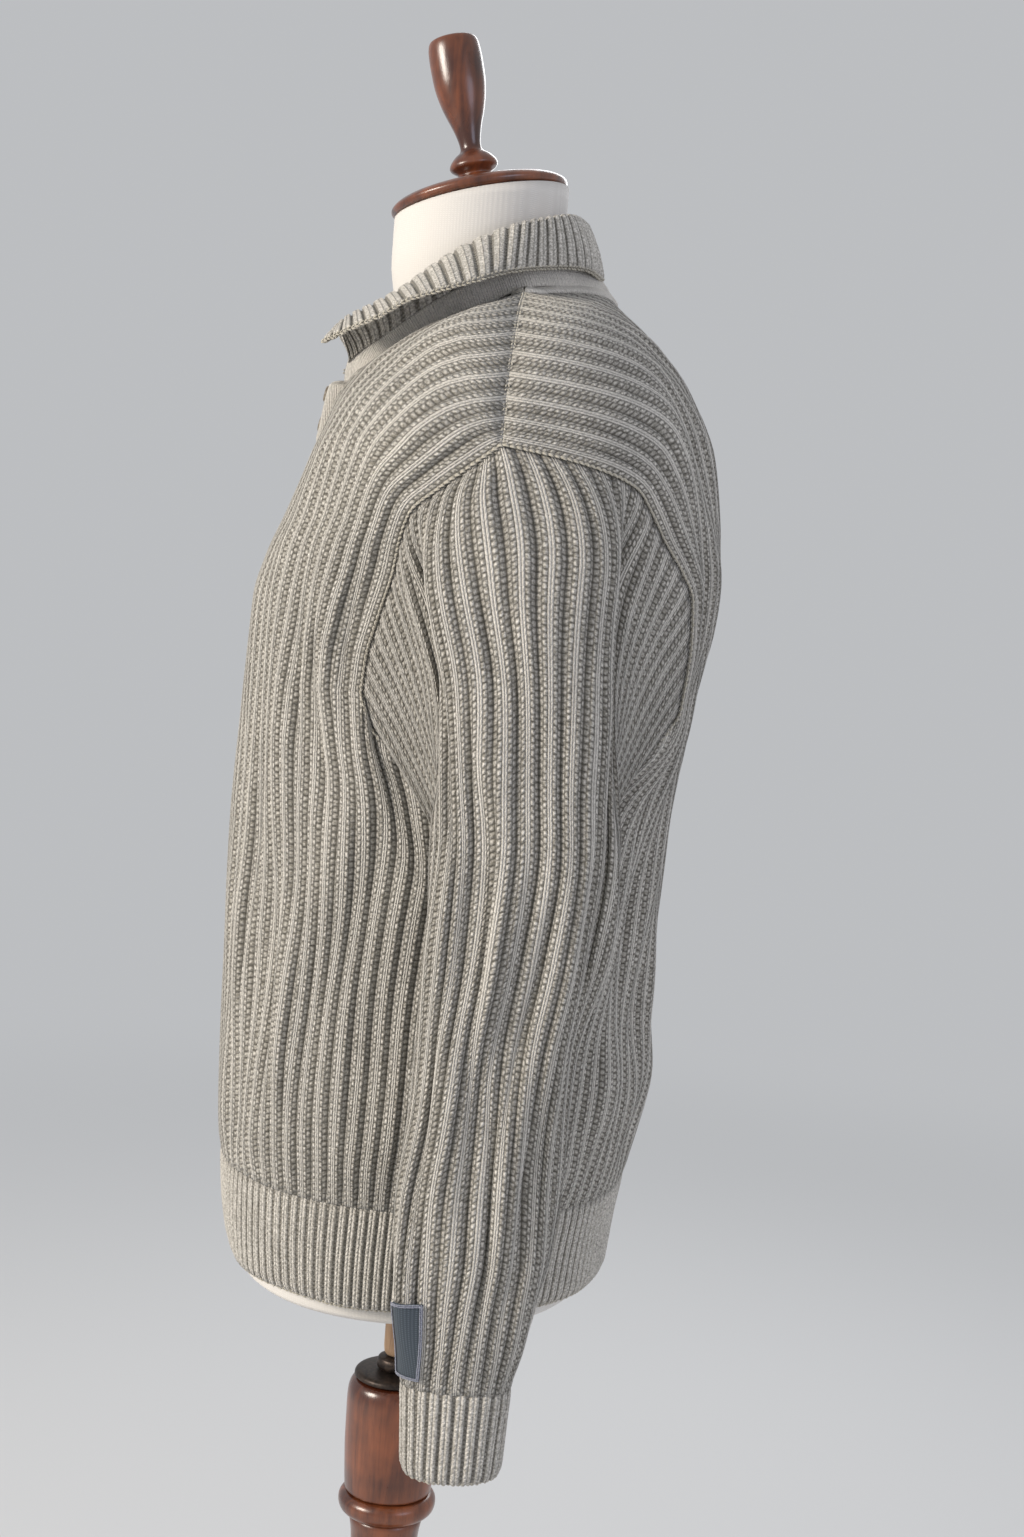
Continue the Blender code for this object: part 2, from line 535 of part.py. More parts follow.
def mitre(ray, own, away):
    """Thickness direction at the armhole seam that keeps a wall on its own side of the seam."""
    blend = unit(ray + own)
    wrong = np.minimum(np.sum(blend * away, axis=-1, keepdims=True), 0.0)
    return unit(blend - wrong * away)


def sleeve_end(flat):
    """Length of a rib line from the armhole seam to the cuff seam."""
    beyond = ease((np.abs(flat) - CROWN_HALF) / (CAP_HALF - CROWN_HALF))
    return SLEEVE_LENGTH - (SLEEVE_LENGTH - UNDER_LENGTH) * beyond


def oval(angle, thick, deep):
    """Point of a squarish oval: angle 0 is its outer middle and 90 degrees its back edge."""
    away = thick * np.cos(angle)
    along = deep * np.sin(angle)
    total = (np.abs(away) / thick) ** TUBE_POWER + (np.abs(along) / deep) ** TUBE_POWER
    reach = total ** (-1 / TUBE_POWER)
    return reach * away, reach * along


def tube_point(flat, height):
    """Point on the hanging sleeve, with a little room between the two sides of its underarm seam."""
    edge = read_column(TUBE, "height", "edge_flat", height)
    reach = np.abs(flat)
    under = 90 + (90 - SEAM_ROOM) * (reach - edge) / (CAP_HALF - edge)
    angle = np.radians(np.where(reach < edge, 90 * reach / edge, under))
    thick = read_column(TUBE, "height", "half_thick", height)
    away, along = oval(angle, thick, read_column(TUBE, "height", "half_deep", height))
    x = read_column(TUBE, "height", "x", height) + away
    y = read_column(TUBE, "height", "y", height) + np.sign(flat) * along
    return x, y


def sleeve_point(flat, share):
    """Outer surface of the left sleeve; share runs from the armhole seam to the cuff seam."""
    start = sleeve_cap(flat)
    along = share * sleeve_end(flat)
    height = start[..., 2] * (1 - share) + CUFF_TOP * share
    x, y = tube_point(flat, height)
    sweep = read_column(SWEEP, "flat", "reach", np.abs(flat))
    blend = 1 - (1 - np.clip(along / sweep, 0.0, 1.0)) ** 2
    point = np.stack([start[..., 0] * (1 - blend) + x * blend,
                      start[..., 1] * (1 - blend) + y * blend, height], axis=-1)
    for middle, first, last, lean, width, push_x, push_y in SLEEVE_TUCKS:
        centre = middle + lean * (along - first)
        window = ease((along - first) / 6.0) * ease((last - along) / (last - first) * 2.0)
        amount = window * np.exp(-((flat - centre) / width) ** 2)
        point[..., 0] += push_x * amount
        point[..., 1] += push_y * amount
    return clear_of_body(point, along)


def clear_of_body(point, along):
    """Keeps the sleeve outside the body below the armhole."""
    side = read_column(RING, "height", "side", point[..., 2])
    face = np.where(point[..., 1] < side, -1, 1)
    wide = read_column(RING, "height", "half_width", point[..., 2])
    deep_front = side - read_column(RING, "height", "front", point[..., 2])
    deep_back = read_column(RING, "height", "back", point[..., 2]) - side
    deep = np.where(face < 0, deep_front, deep_back)
    share = np.clip(np.abs(point[..., 1] - side) / deep, 0.0, 0.999)
    body_x = wide * (1 - share ** BODY_POWER) ** (1 / BODY_POWER)
    front_line = read_column(UNDERARMS[-1], "y", "height", point[..., 1])
    back_line = read_column(UNDERARMS[1], "y", "height", point[..., 1])
    line = np.where(point[..., 1] < UNDERARMS[-1]["y"][-1], front_line, back_line)
    below = ease((line - point[..., 2] + 0.5) / 5.0)
    room = SLEEVE_ROOM * ease(along / 3.5)
    short = np.maximum(body_x + room - point[..., 0], 0.0) * below
    point[..., 0] += short
    return point


def rib_line(columns):
    """Ridges on every other column, counted from the middle of the grid."""
    middle = (columns - 1) // 2
    index = np.arange(columns) - middle
    return (index % 2 == 0).astype(float)


def add_solid(name, vertices, faces, material):
    """One named mesh solid, written in metres, with its faces outward."""
    mesh = bpy.data.meshes.new(name)
    mesh.from_pydata((np.array(vertices) * CENTIMETRE).tolist(), [], faces)
    mesh.update()
    volume = 0.0
    places = np.array(vertices)
    for face in faces:
        for i in range(1, len(face) - 1):
            volume += np.dot(places[face[0]], np.cross(places[face[i]], places[face[i + 1]]))
    if volume < 0:
        mesh.flip_normals()
    mesh.materials.append(material)
    part = bpy.data.objects.new(name, mesh)
    PARTS.objects.link(part)
    return part


def wall_solid(name, outer, inner, material, mask=None, closed=False):
    """Solid between a fine outer grid and an inner grid with half as many columns."""
    rows, columns = outer.shape[:2]
    coarse = inner.shape[1]
    cells = coarse if closed else coarse - 1
    if mask is None:
        mask = np.ones((rows - 1, cells), dtype=bool)
    vertices = []
    numbers = {}
    faces = []

    def number(layer, row, column):
        key = (layer, row, column % (columns if layer else coarse)) if closed else (layer, row, column)
        if key not in numbers:
            numbers[key] = len(vertices)
            source = outer if layer else inner
            vertices.append(tuple(source[key[1], key[2]]))
        return numbers[key]

    def filled(row, cell):
        if closed:
            cell = cell % cells
        return 0 <= row < rows - 1 and 0 <= cell < cells and mask[row, cell]

    for row in range(rows - 1):
        for cell in range(cells):
            if not mask[row, cell]:
                continue
            for step in (0, 1):
                left = 2 * cell + step
                faces.append((number(1, row, left), number(1, row, left + 1),
                              number(1, row + 1, left + 1), number(1, row + 1, left)))
            faces.append((number(0, row, cell), number(0, row + 1, cell),
                          number(0, row + 1, cell + 1), number(0, row, cell + 1)))
            for edge_row, other in ((row, row - 1), (row + 1, row + 1)):
                if filled(other, cell):
                    continue
                first, middle, last = (number(1, edge_row, 2 * cell + k) for k in range(3))
                low, high = number(0, edge_row, cell), number(0, edge_row, cell + 1)
                strip = [(first, low, middle), (middle, low, high), (middle, high, last)]
                if edge_row == row + 1:
                    strip = [tuple(reversed(face)) for face in strip]
                faces.extend(strip)
            for edge_cell, other in ((cell, cell - 1), (cell + 1, cell + 1)):
                if filled(row, other):
                    continue
                side = (number(1, row, 2 * edge_cell), number(1, row + 1, 2 * edge_cell),
                        number(0, row + 1, edge_cell), number(0, row, edge_cell))
                faces.append(side if edge_cell == cell else tuple(reversed(side)))
    return add_solid(name, vertices, faces, material)


def turned_solid(name, profile, material, centre=(0.0, 0.0, 0.0), tilt=0.0, steps=TURNED_STEPS):
    """Solid of revolution from a profile of radius and height rows, running top to bottom."""
    vertices = []
    rings = []
    for radius, height in profile:
        if radius == 0.0:
            rings.append([len(vertices)])
            vertices.append((0.0, 0.0, height))
            continue
        rings.append(list(range(len(vertices), len(vertices) + steps)))
        for step in range(steps):
            angle = 2 * np.pi * step / steps
            vertices.append((radius * np.cos(angle), radius * np.sin(angle), height))
    faces = []
    for upper, lower in zip(rings[:-1], rings[1:]):
        for step in range(steps):
            after = (step + 1) % steps
            if len(upper) == 1:
                faces.append((upper[0], lower[step], lower[after]))
            elif len(lower) == 1:
                faces.append((upper[step], lower[0], upper[after]))
            else:
                faces.append((upper[step], lower[step], lower[after], upper[after]))
    places = np.array(vertices)
    turn = np.radians(tilt)
    y = places[:, 1] * np.cos(turn) - places[:, 2] * np.sin(turn)
    z = places[:, 1] * np.sin(turn) + places[:, 2] * np.cos(turn)
    places = np.stack([places[:, 0] + centre[0], y + centre[1], z + centre[2]], axis=-1)
    return add_solid(name, [tuple(place) for place in places], faces, material)


def make_material(name, colour, roughness):
    """Plain surface colour."""
    material = bpy.data.materials.new(name)
    material.use_nodes = True
    shader = material.node_tree.nodes["Principled BSDF"]
    shader.inputs["Base Color"].default_value = (*colour, 1.0)
    shader.inputs["Roughness"].default_value = roughness
    return material


def body_panel(name, face):
    """Front or back panel with its ribs raised on the outside."""
    half_columns = round(FLAT_EDGE / (RIB / 2))
    columns = 2 * half_columns + 1
    flat = np.linspace(-FLAT_EDGE + GAP / 2, FLAT_EDGE - GAP / 2, columns)
    arm_column = round(ARM_EDGE / (RIB / 2))
    shares = np.concatenate((np.array(PANEL_ROWS_BELOW), np.array(PANEL_ROWS_ABOVE)[1:] + 1))
    rows = len(shares)
    below = len(PANEL_ROWS_BELOW) - 1
    grid_flat, grid_row = np.meshgrid(flat, shares)
    height = panel_height(grid_flat, grid_row, 1.0, 1.0, face)
    inner_edge = np.abs(np.arange(columns) - half_columns) == arm_column
    height[0] += GAP / 2
    points = body_point(grid_flat, height, face)
    flip = -1.0 if face > 0 else 1.0
    normals = grid_normals(points, flip)
    points = points + normals * body_crease(grid_flat, height, face)[..., None]
    shoulder = (np.abs(flat) > NECK_EDGE - 0.1) & (np.abs(flat) < ARM_EDGE + 0.1)
    neck = np.abs(flat) < NECK_EDGE - 0.1
    normals = grid_normals(points, flip)
    normals[0, :, 2] = 0.0
    normals[:, 0] = (-1.0, 0.0, 0.0)
    normals[:, -1] = (1.0, 0.0, 0.0)
    turned = ((np.abs(flat[neck]) / NECK_EDGE) ** 4)[:, None]
    over = np.stack([0.35 * flat[neck] / ARM_EDGE, 0 * flat[neck], 0 * flat[neck] + 1], axis=-1)
    normals[-1, neck] = unit(normals[-2, neck] * (1 - turned) + over * turned)
    points[-1, shoulder, 1] += face * GAP / 2
    points[-1, neck, 2] -= GAP / 2
    for column in range(columns):
        offset = abs(column - half_columns)
        mirror = np.array([1.0 if column > half_columns else -1.0, 1.0, 1.0])
        if offset < arm_column:
            continue
        for row in range(below, rows if offset == arm_column else below + 1):
            place = CAP_CORNER + offset - arm_column
            own = normals[below - 1, column]
            if offset == arm_column:
                place = CAP_CORNER * (2 - shares[row])
            if offset == arm_column and row > below:
                own = normals[row, column - int(mirror[0])]
            ray = unit(points[row, column] - np.array(ARMHOLE_HEART) * mirror)
            across = seam_side(np.array(float(place)), face) * mirror
            points[row, column] -= across * GAP / 2
            normals[row, column] = mitre(ray, own, across) if row < rows - 1 else ray
    shoulder = shoulder & (np.abs(flat) < ARM_EDGE - 0.1)
    normals[-1, shoulder] = unit(np.stack([0.35 * flat[shoulder] / ARM_EDGE, 0 * flat[shoulder],
                                           0 * flat[shoulder] + 1], axis=-1))
    normals = unit(normals)
    fade = np.ones((rows, columns))
    fade[0] = 0.5
    fade[-1] = 0.3
    ribs = rib_line(columns)[None, :] * fade
    ribs[:, inner_edge] = 0.0
    ribs[below, np.abs(flat) > ARM_EDGE] = 0.0
    outer = points + normals * (ribs * RIB_RISE)[..., None]
    inner = (points - normals * WALL)[:, ::2]
    mask = np.ones((rows - 1, (columns - 1) // 2), dtype=bool)
    cell_middle = np.abs((np.arange((columns - 1) // 2) * 2 + 1) - half_columns)
    mask[below:, cell_middle > arm_column] = False
    return wall_solid(name, outer, inner, KNIT, mask)


def sleeve_grid(side, columns, shares):
    """Points and normals of a sleeve; the right one mirrors the left."""
    flat = np.linspace(-CAP_HALF + GAP / 2, CAP_HALF - GAP / 2, columns)
    grid_flat, grid_share = np.meshgrid(flat, shares)
    points = sleeve_point(grid_flat, grid_share)
    normals = soft_normals(points, -1.0, 6)
    place = np.abs(flat) / CAP_HALF * CAP_COLUMNS
    across = np.where((flat < 0)[:, None], seam_side(place, -1), seam_side(place, 1))
    ray = unit(points[0] - np.array(ARMHOLE_HEART))
    normals[-1, :, 2] = 0.0
    normals[:, 0] = (-1.0, 0.0, 0.0)
    normals[:, -1] = (-1.0, 0.0, 0.0)
    normals[0] = mitre(ray, unit(normals[0]), -across)
    points[0] += across * GAP / 2
    normals = unit(normals)
    if side < 0:
        points = points * (-1.0, 1.0, 1.0)
        normals = normals * (-1.0, 1.0, 1.0)
    return flat, points, normals


def sleeve(name, side):
    """Sleeve as one knitted wall rolled up to its underarm seam."""
    columns = 2 * CAP_COLUMNS + 1
    shares = np.array(SLEEVE_ROWS)
    down = shares[:, None]
    flat, points, normals = sleeve_grid(side, columns, shares)
    fade = np.ones((len(shares), columns))
    fade[0] = 0.0
    fade[-1] = 0.5
    fade = fade * (1 - 0.8 * ease((np.abs(flat) - 10.0) / 6.0) * down)
    ribs = rib_line(columns)[None, :] * fade
    outer = points + normals * (ribs * RIB_RISE)[..., None]
    hidden = ease((np.abs(flat) - 11.0) / 4.0) * (1 - ease((down - 0.15) / 0.4))
    inner = (points - normals * (WALL * (1 - 0.55 * hidden))[..., None])[:, ::2]
    return wall_solid(name, outer, inner, KNIT)


def hem_band(name, face):
    """Narrow-ribbed band under a panel."""
    ribs = round(2 * FLAT_EDGE * HEM_SHARE / HEM_RIB)
    columns = 2 * ribs + 1
    flat = np.linspace(-FLAT_EDGE + GAP / 2, FLAT_EDGE - GAP / 2, columns)
    heights = np.array([HEM_BOTTOM, SEAM_HEIGHT - GAP / 2])
    grid_flat, height = np.meshgrid(flat, heights)
    reach = np.abs(grid_flat)
    points = ring_point(RING, height, body_turn(reach, np.maximum(height, SEAM_HEIGHT), face), face)
    points[..., 0] *= np.sign(grid_flat) + (grid_flat == 0)
    normals = grid_normals(points, -1.0 if face > 0 else 1.0)
    normals[..., 2] = 0.0
    normals[:, 0] = (-1.0, 0.0, 0.0)
    normals[:, -1] = (1.0, 0.0, 0.0)
    normals = unit(normals)
    raised = 1.0 - rib_line(columns)
    fade = np.array([1.0, 0.4])[:, None]
    outer = points + normals * (raised[None, :] * fade * BAND_RISE)[..., None]
    inner = (points - normals * BAND_WALL)[:, ::2]
    return wall_solid(name, outer, inner, KNIT)


def cuff(name, side):
    """Narrow-ribbed cuff, open at its lower end."""
    columns = 2 * CUFF_RIBS
    turn = np.linspace(0, 2 * np.pi, columns, endpoint=False)
    heights = np.array([CUFF_BOTTOM, CUFF_TOP - GAP])
    grid_turn, height = np.meshgrid(turn, heights)
    thick = read_column(TUBE, "height", "half_thick", height)
    deep = read_column(TUBE, "height", "half_deep", height)
    away, along = oval(grid_turn, thick, deep)
    x = read_column(TUBE, "height", "x", height) + away
    y = read_column(TUBE, "height", "y", height) + along
    points = np.stack([x, y, height], axis=-1)
    outward = unit(np.stack([away / thick ** 2, along / deep ** 2, 0 * away], axis=-1))
    raised = (np.arange(columns) % 2)[None, :] * np.array([1.0, 0.4])[:, None]
    outer = points + outward * (raised * BAND_RISE)[..., None]
    inner = (points - outward * BAND_WALL)[:, ::2]
    outer[..., 0] *= side
    inner[..., 0] *= side
    return wall_solid(name, outer, inner, KNIT, closed=True)


def collar_line(which, share):
    """Points of a collar line; share is -1 at the left front end, 0 at the back, 1 at the right end."""
    place = (1 - np.abs(share)) * (len(COLLAR_ROWS) - 1)
    sheet = dict(COLLAR)
    sheet["row"] = np.arange(len(COLLAR_ROWS), dtype=float)
    axes = [read_column(sheet, "row", which + axis, place) for axis in ("_x", "_y", "_z")]
    points = np.stack(axes, axis=-1)
    points[..., 0] *= -np.sign(share)
    return points


def even_shares(which, count):
    """Collar shares that are evenly spaced along one of its lines."""
    fine = np.linspace(-1, 1, 801)
    line = collar_line(which, fine)
    run = np.concatenate(([0.0], np.cumsum(np.linalg.norm(np.diff(line, axis=0), axis=1))))
    return np.interp(np.linspace(0, run[-1], count), run, fine)


def neck_band(name):
    """Plain band between the neckline and the collar."""
    columns = 41
    share = even_shares("seam", columns)
    seam = collar_line("seam", share)
    top = collar_line("top", share)
    rows = np.array([0.0, 0.5, 1.0])[:, None, None]
    points = seam[None] * (1 - rows) + top[None] * rows
    points[0, :, 2] += GAP
    points[-1, :, 2] -= GAP
    inward = band_inward(share)
    inner = (points + inward[None] * BAND_WALL)[:, ::2]
    return wall_solid(name, points, inner, KNIT)


def band_inward(share):
    """Level directions from the band toward the neck."""
    line = collar_line("top", share)
    along = np.gradient(line, axis=0)
    inward = np.stack([along[:, 1], -along[:, 0], 0 * along[:, 0]], axis=-1)
    facing = np.sum(inward * (np.array([0.0, 0.5, 0.0]) - line) * (1, 1, 0), axis=-1)
    return unit(inward * np.sign(facing)[:, None])


def collar_points(share, profile_shares):
    """Grid of the collar's showing side, from the band up over the fold and down to the free edge."""
    top = collar_line("top", share)
    fold = collar_line("fold", share)
    edge = collar_line("edge", share)
    inward = band_inward(share)
    out = unit((edge - fold) * (1, 1, 0))
    fall = np.linalg.norm(edge - fold, axis=-1, keepdims=True)
    up = np.array([0.0, 0.0, 1.0])
    base = top + inward * BAND_WALL + up * GAP
    bend = fold - out * BEND_BACK - up * BEND_DROP
    stand = (base + bend) / 2 + inward * 0.1
    lip = fold + (edge - fold) * LIP_SHARE + up * LIP_RISE
    belly = fold + (edge - fold) * BELLY_SHARE + unit(out + up * 0.8) * BELLY_RISE * fall
    stops = np.stack([base, stand, bend, fold, lip, belly, edge])
    sheet = {"stop": np.arange(7, dtype=float)}
    place = np.broadcast_to(np.array(profile_shares)[:, None], (len(profile_shares), len(share)))
    points = np.zeros(place.shape + (3,))
    for column in range(len(share)):
        for axis in range(3):
            sheet["value"] = stops[:, column, axis]
            points[:, column, axis] = read_column(sheet, "stop", "value", place[:, column])
    return points


def collar(name):
    """Ribbed collar, folded down all round and open at the front."""
    columns = 2 * COLLAR_RIBS + 1
    share = even_shares("edge", columns)
    points = collar_points(share, COLLAR_STOPS)
    normals = grid_normals(points, 1.0)
    if normals[-2, columns // 2, 1] < 0:
        normals = -normals
    normals[0] = band_inward(share)
    raised = (1.0 - rib_line(columns))[None, :] * np.array(COLLAR_FADE)[:, None]
    outer = points + normals * (raised * BAND_RISE)[..., None]
    inner = (points - normals * BAND_WALL)[:, ::2]
    return wall_solid(name, outer, inner, KNIT)


def placket(name):
    """Short strip at the centre front, made from the front panel's points moved out."""
    flat = np.linspace(-PLACKET_HALF, PLACKET_HALF, 9)
    heights = np.linspace(PLACKET_LOW, PLACKET_HIGH, 6)
    grid_flat, height = np.meshgrid(flat, heights)
    rise = (height - PLACKET_LOW) / (PLACKET_HIGH - PLACKET_LOW)
    base = body_point(grid_flat, np.minimum(height, FRONT_NECK[0][3]), -1)
    base[..., 2] = height
    lift = RIB_RISE + PLACKET_CLEAR + PLACKET_LEAN * rise ** 1.5
    inner = base + lift[..., None] * (0.0, -1.0, 0.0)
    outer = inner + PLACKET_WALL * np.array([0.0, -1.0, 0.0])
    return wall_solid(name, outer, inner[:, ::2], KNIT), outer


def button(name, height, face_points):
    """Flat round button on the placket."""
    rows = face_points[:, face_points.shape[1] // 2]
    y = np.interp(height, rows[:, 2], rows[:, 1])
    slope = np.degrees(np.arctan2(rows[-1, 1] - rows[0, 1], rows[-1, 2] - rows[0, 2]))
    return turned_solid(name, BUTTON_PROFILE, HORN, (0.0, y - BUTTON_CLEAR, height), 90.0 - slope, 16)


def label(name):
    """Patch on the left sleeve, made from the sleeve's points moved out."""
    flat = np.linspace(*LABEL_FLAT, 5)
    shares = np.linspace(*LABEL_ALONG, 6) / SLEEVE_LENGTH
    grid_flat, grid_share = np.meshgrid(flat, shares)
    points = sleeve_point(grid_flat, grid_share)
    normals = grid_normals(points, -1.0)
    inner = points + normals * (RIB_RISE + LABEL_CLEAR)
    outer = inner + normals * LABEL_WALL
    return wall_solid(name, outer, inner[:, ::2], PATCH)


def torso(name):
    """Cloth-covered torso with its neck, cut off at the slope of the neck top."""
    sheet = table(TORSO_NAMES, TORSO_RINGS)
    steps = 7
    vertices = []
    rings = []
    slope = np.tan(np.radians(NECK_TILT))
    heights = [row[0] for row in TORSO_RINGS] + [NECK_TOP[2]]
    for height in heights:
        level = np.full(steps, min(height, TORSO_RINGS[-1][0]))
        turn = np.linspace(0, 1, steps)
        front = ring_point(sheet, level, turn, -1)
        back = ring_point(sheet, level, turn[::-1], 1)
        half = np.concatenate((front, back[1:]))
        whole = np.concatenate((half, half[-2:0:-1] * (-1, 1, 1)))
        if height == heights[-1]:
            whole[:, 2] = NECK_TOP[2] + whole[:, 1] * slope
        rings.append(list(range(len(vertices), len(vertices) + len(whole))))
        vertices.extend(tuple(point) for point in whole)
    faces = []
    count = len(rings[0])
    for low, high in zip(rings[:-1], rings[1:]):
        for step in range(count):
            after = (step + 1) % count
            faces.append((low[step], low[after], high[after], high[step]))
    for ring, turned in ((rings[0], True), (rings[-1], False)):
        points = np.array([vertices[i] for i in ring])
        vertices.append(tuple(points.mean(axis=0)))
        hub = len(vertices) - 1
        for step in range(count):
            after = (step + 1) % count
            face = (ring[step], ring[after], hub)
            faces.append(tuple(reversed(face)) if turned else face)
    return add_solid(name, vertices, faces, FORM_CLOTH)


for old in list(bpy.context.scene.objects):
    bpy.data.objects.remove(old)

PARTS = bpy.data.collections.new("Ribbed sweater on a dress form")
bpy.context.scene.collection.children.link(PARTS)
KNIT = make_material("ecru_wool", (0.52, 0.49, 0.43), 0.9)
PATCH = make_material("patch_weave", (0.05, 0.06, 0.08), 0.8)
HORN = make_material("button_horn", (0.25, 0.21, 0.17), 0.4)
FORM_CLOTH = make_material("form_cotton", (0.75, 0.72, 0.67), 0.85)
WOOD = make_material("dark_wood", (0.12, 0.04, 0.02), 0.35)
POLE_WOOD = make_material("raw_wood", (0.32, 0.21, 0.13), 0.6)
IRON = make_material("dark_iron", (0.03, 0.025, 0.025), 0.4)

body_panel("body_front", -1)
body_panel("body_back", 1)
sleeve("sleeve_left", 1)
sleeve("sleeve_right", -1)
hem_band("hem_front", -1)
hem_band("hem_back", 1)
cuff("cuff_left", 1)
cuff("cuff_right", -1)
neck_band("neck_band")
collar("collar")
strip, strip_face = placket("placket")
for button_name, button_height in BUTTONS:
    button(button_name, button_height, strip_face)
label("sleeve_label")
torso("form_torso")
turned_solid("neck_cap", CAP_PROFILE, WOOD, NECK_TOP, NECK_TILT)
turned_solid("finial", FINIAL_PROFILE, WOOD, NECK_TOP, NECK_TILT, 16)
turned_solid("stand_pole", POLE_PROFILE, POLE_WOOD)
turned_solid("pole_boss", BOSS_PROFILE, IRON)
turned_solid("stand_disc", DISC_PROFILE, IRON)
turned_solid("stand_column", COLUMN_PROFILE, WOOD)
turned_solid("column_bead", BEAD_PROFILE, WOOD)
turned_solid("stand_shaft", SHAFT_PROFILE, WOOD)
turned_solid("stand_base", BASE_PROFILE, WOOD)
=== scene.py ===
import math
import bpy
import bmesh
import numpy as np
from mathutils import Matrix


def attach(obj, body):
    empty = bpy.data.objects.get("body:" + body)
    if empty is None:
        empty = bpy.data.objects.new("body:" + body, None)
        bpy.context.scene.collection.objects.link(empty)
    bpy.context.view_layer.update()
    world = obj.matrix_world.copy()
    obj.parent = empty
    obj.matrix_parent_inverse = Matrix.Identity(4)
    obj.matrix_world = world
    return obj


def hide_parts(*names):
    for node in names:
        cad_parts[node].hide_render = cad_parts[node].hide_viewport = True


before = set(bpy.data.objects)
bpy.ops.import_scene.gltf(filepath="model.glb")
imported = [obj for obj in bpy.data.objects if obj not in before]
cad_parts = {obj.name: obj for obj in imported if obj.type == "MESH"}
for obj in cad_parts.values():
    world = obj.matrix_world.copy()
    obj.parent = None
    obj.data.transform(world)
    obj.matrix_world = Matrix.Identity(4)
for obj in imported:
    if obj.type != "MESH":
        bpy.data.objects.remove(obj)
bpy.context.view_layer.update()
scene = bpy.context.scene
print("frame loaded")

# Lengths are centimetres until a mesh is written, as a knitter measures them.
garment = {
    "flatEdge": 30.55,       # half of a panel laid flat
    "armEdge": 24.05,        # half width above the underarm
    "neckEdge": 8.45,        # half width of the neck opening
    "rib": 1.30,
    "sleeveRib": 1.25,
    "rowPitch": 0.43,        # one row of stitches
    "capHalf": 26.875,       # half of the sleeve's top edge laid flat
    "capPlaces": 43.0,       # places along the armhole seam, shoulder to side seam
    "capCorner": 33.0,       # the one where the bound-off underarm starts
    "sleeveLength": 59.0,
    "underLength": 38.0,
    "seamHeight": 78.6,
    "hemBottom": 71.6,
    "cuffTop": 69.5,
    "cuffBottom": 63.6,
    "cornerHeight": 113.0,
    "shoulderHeight": 129.0,
    "shoulderStart": 117.0,
    "swingFall": 0.5,
    "swingEnd": 14.0,
    "armholeHeart": (19.5, 3.3, 117.5),
    "wall": 0.30,
    "bandWall": 0.28,
    "plainStitch": (0.34, 0.28),     # width and height of one, on the neck band and its facing
}
flatEdge, armEdge, neckEdge = (garment[key] for key in ("flatEdge", "armEdge", "neckEdge"))
capHalf, capPlaces = garment["capHalf"], garment["capPlaces"]
seamHeight, cornerHeight, shoulderHeight = (garment[key + "Height"] for key in ("seam", "corner", "shoulder"))
armholeHeart = np.array(garment["armholeHeart"])

bodyRings = {
    "names": ("height", "front", "back", "halfWidth", "side", "frontPower", "backPower"),
    "rows": (
        (71.6, -13.2, 15.0, 17.8, 1.2, 2.3, 2.3),
        (75.0, -13.8, 15.3, 18.1, 1.3, 2.3, 2.3),
        (78.6, -14.1, 15.9, 18.4, 1.5, 2.3, 2.3),
        (82.2, -14.4, 16.5, 19.3, 1.7, 2.3, 2.3),
        (86.9, -14.5, 17.2, 19.7, 2.0, 2.3, 2.3),
        (91.5, -14.6, 16.7, 19.6, 2.3, 2.3, 2.3),
        (97.6, -14.8, 16.8, 19.6, 3.0, 2.3, 2.4),
        (103.7, -14.8, 17.0, 19.8, 3.9, 2.3, 2.4),
        (109.7, -14.6, 17.6, 20.0, 4.4, 2.3, 2.5),
        (113.0, -14.5, 18.0, 19.9, 3.8, 2.3, 2.7),
        (118.8, -14.2, 18.9, 20.8, 2.8, 2.3, 2.8),
        (122.0, -13.3, 19.1, 21.9, 2.6, 2.3, 2.8),
        (124.7, -12.2, 18.9, 23.2, 2.9, 2.2, 2.7),
        (127.6, -11.1, 18.5, 24.2, 3.2, 2.2, 2.5),
        (129.0, -10.6, 18.3, 24.5, 3.3, 2.2, 2.4),
        (131.0, -9.9, 18.0, 23.7, 3.3, 2.1, 2.3),
        (133.0, -9.4, 17.3, 22.4, 3.4, 1.9, 2.3),
        (134.7, -8.7, 16.5, 21.3, 3.5, 1.7, 2.2),
        (135.9, -6.8, 15.7, 20.4, 3.5, 1.9, 2.2),
        (137.0, -5.0, 14.8, 19.2, 3.6, 2.1, 2.1),
        (138.0, -3.3, 14.0, 17.6, 3.6, 2.2, 2.1),
        (139.2, -0.9, 12.9, 15.2, 3.7, 2.2, 2.0),
        (140.2, 0.9, 11.9, 12.2, 3.8, 2.1, 2.0),
        (141.4, 3.4, 10.9, 7.6, 3.9, 2.0, 2.0),
        (142.0, 3.5, 10.5, 6.4, 4.0, 2.0, 2.0),
        (142.9, 3.6, 9.7, 3.2, 4.1, 2.0, 2.0),
    ),
}
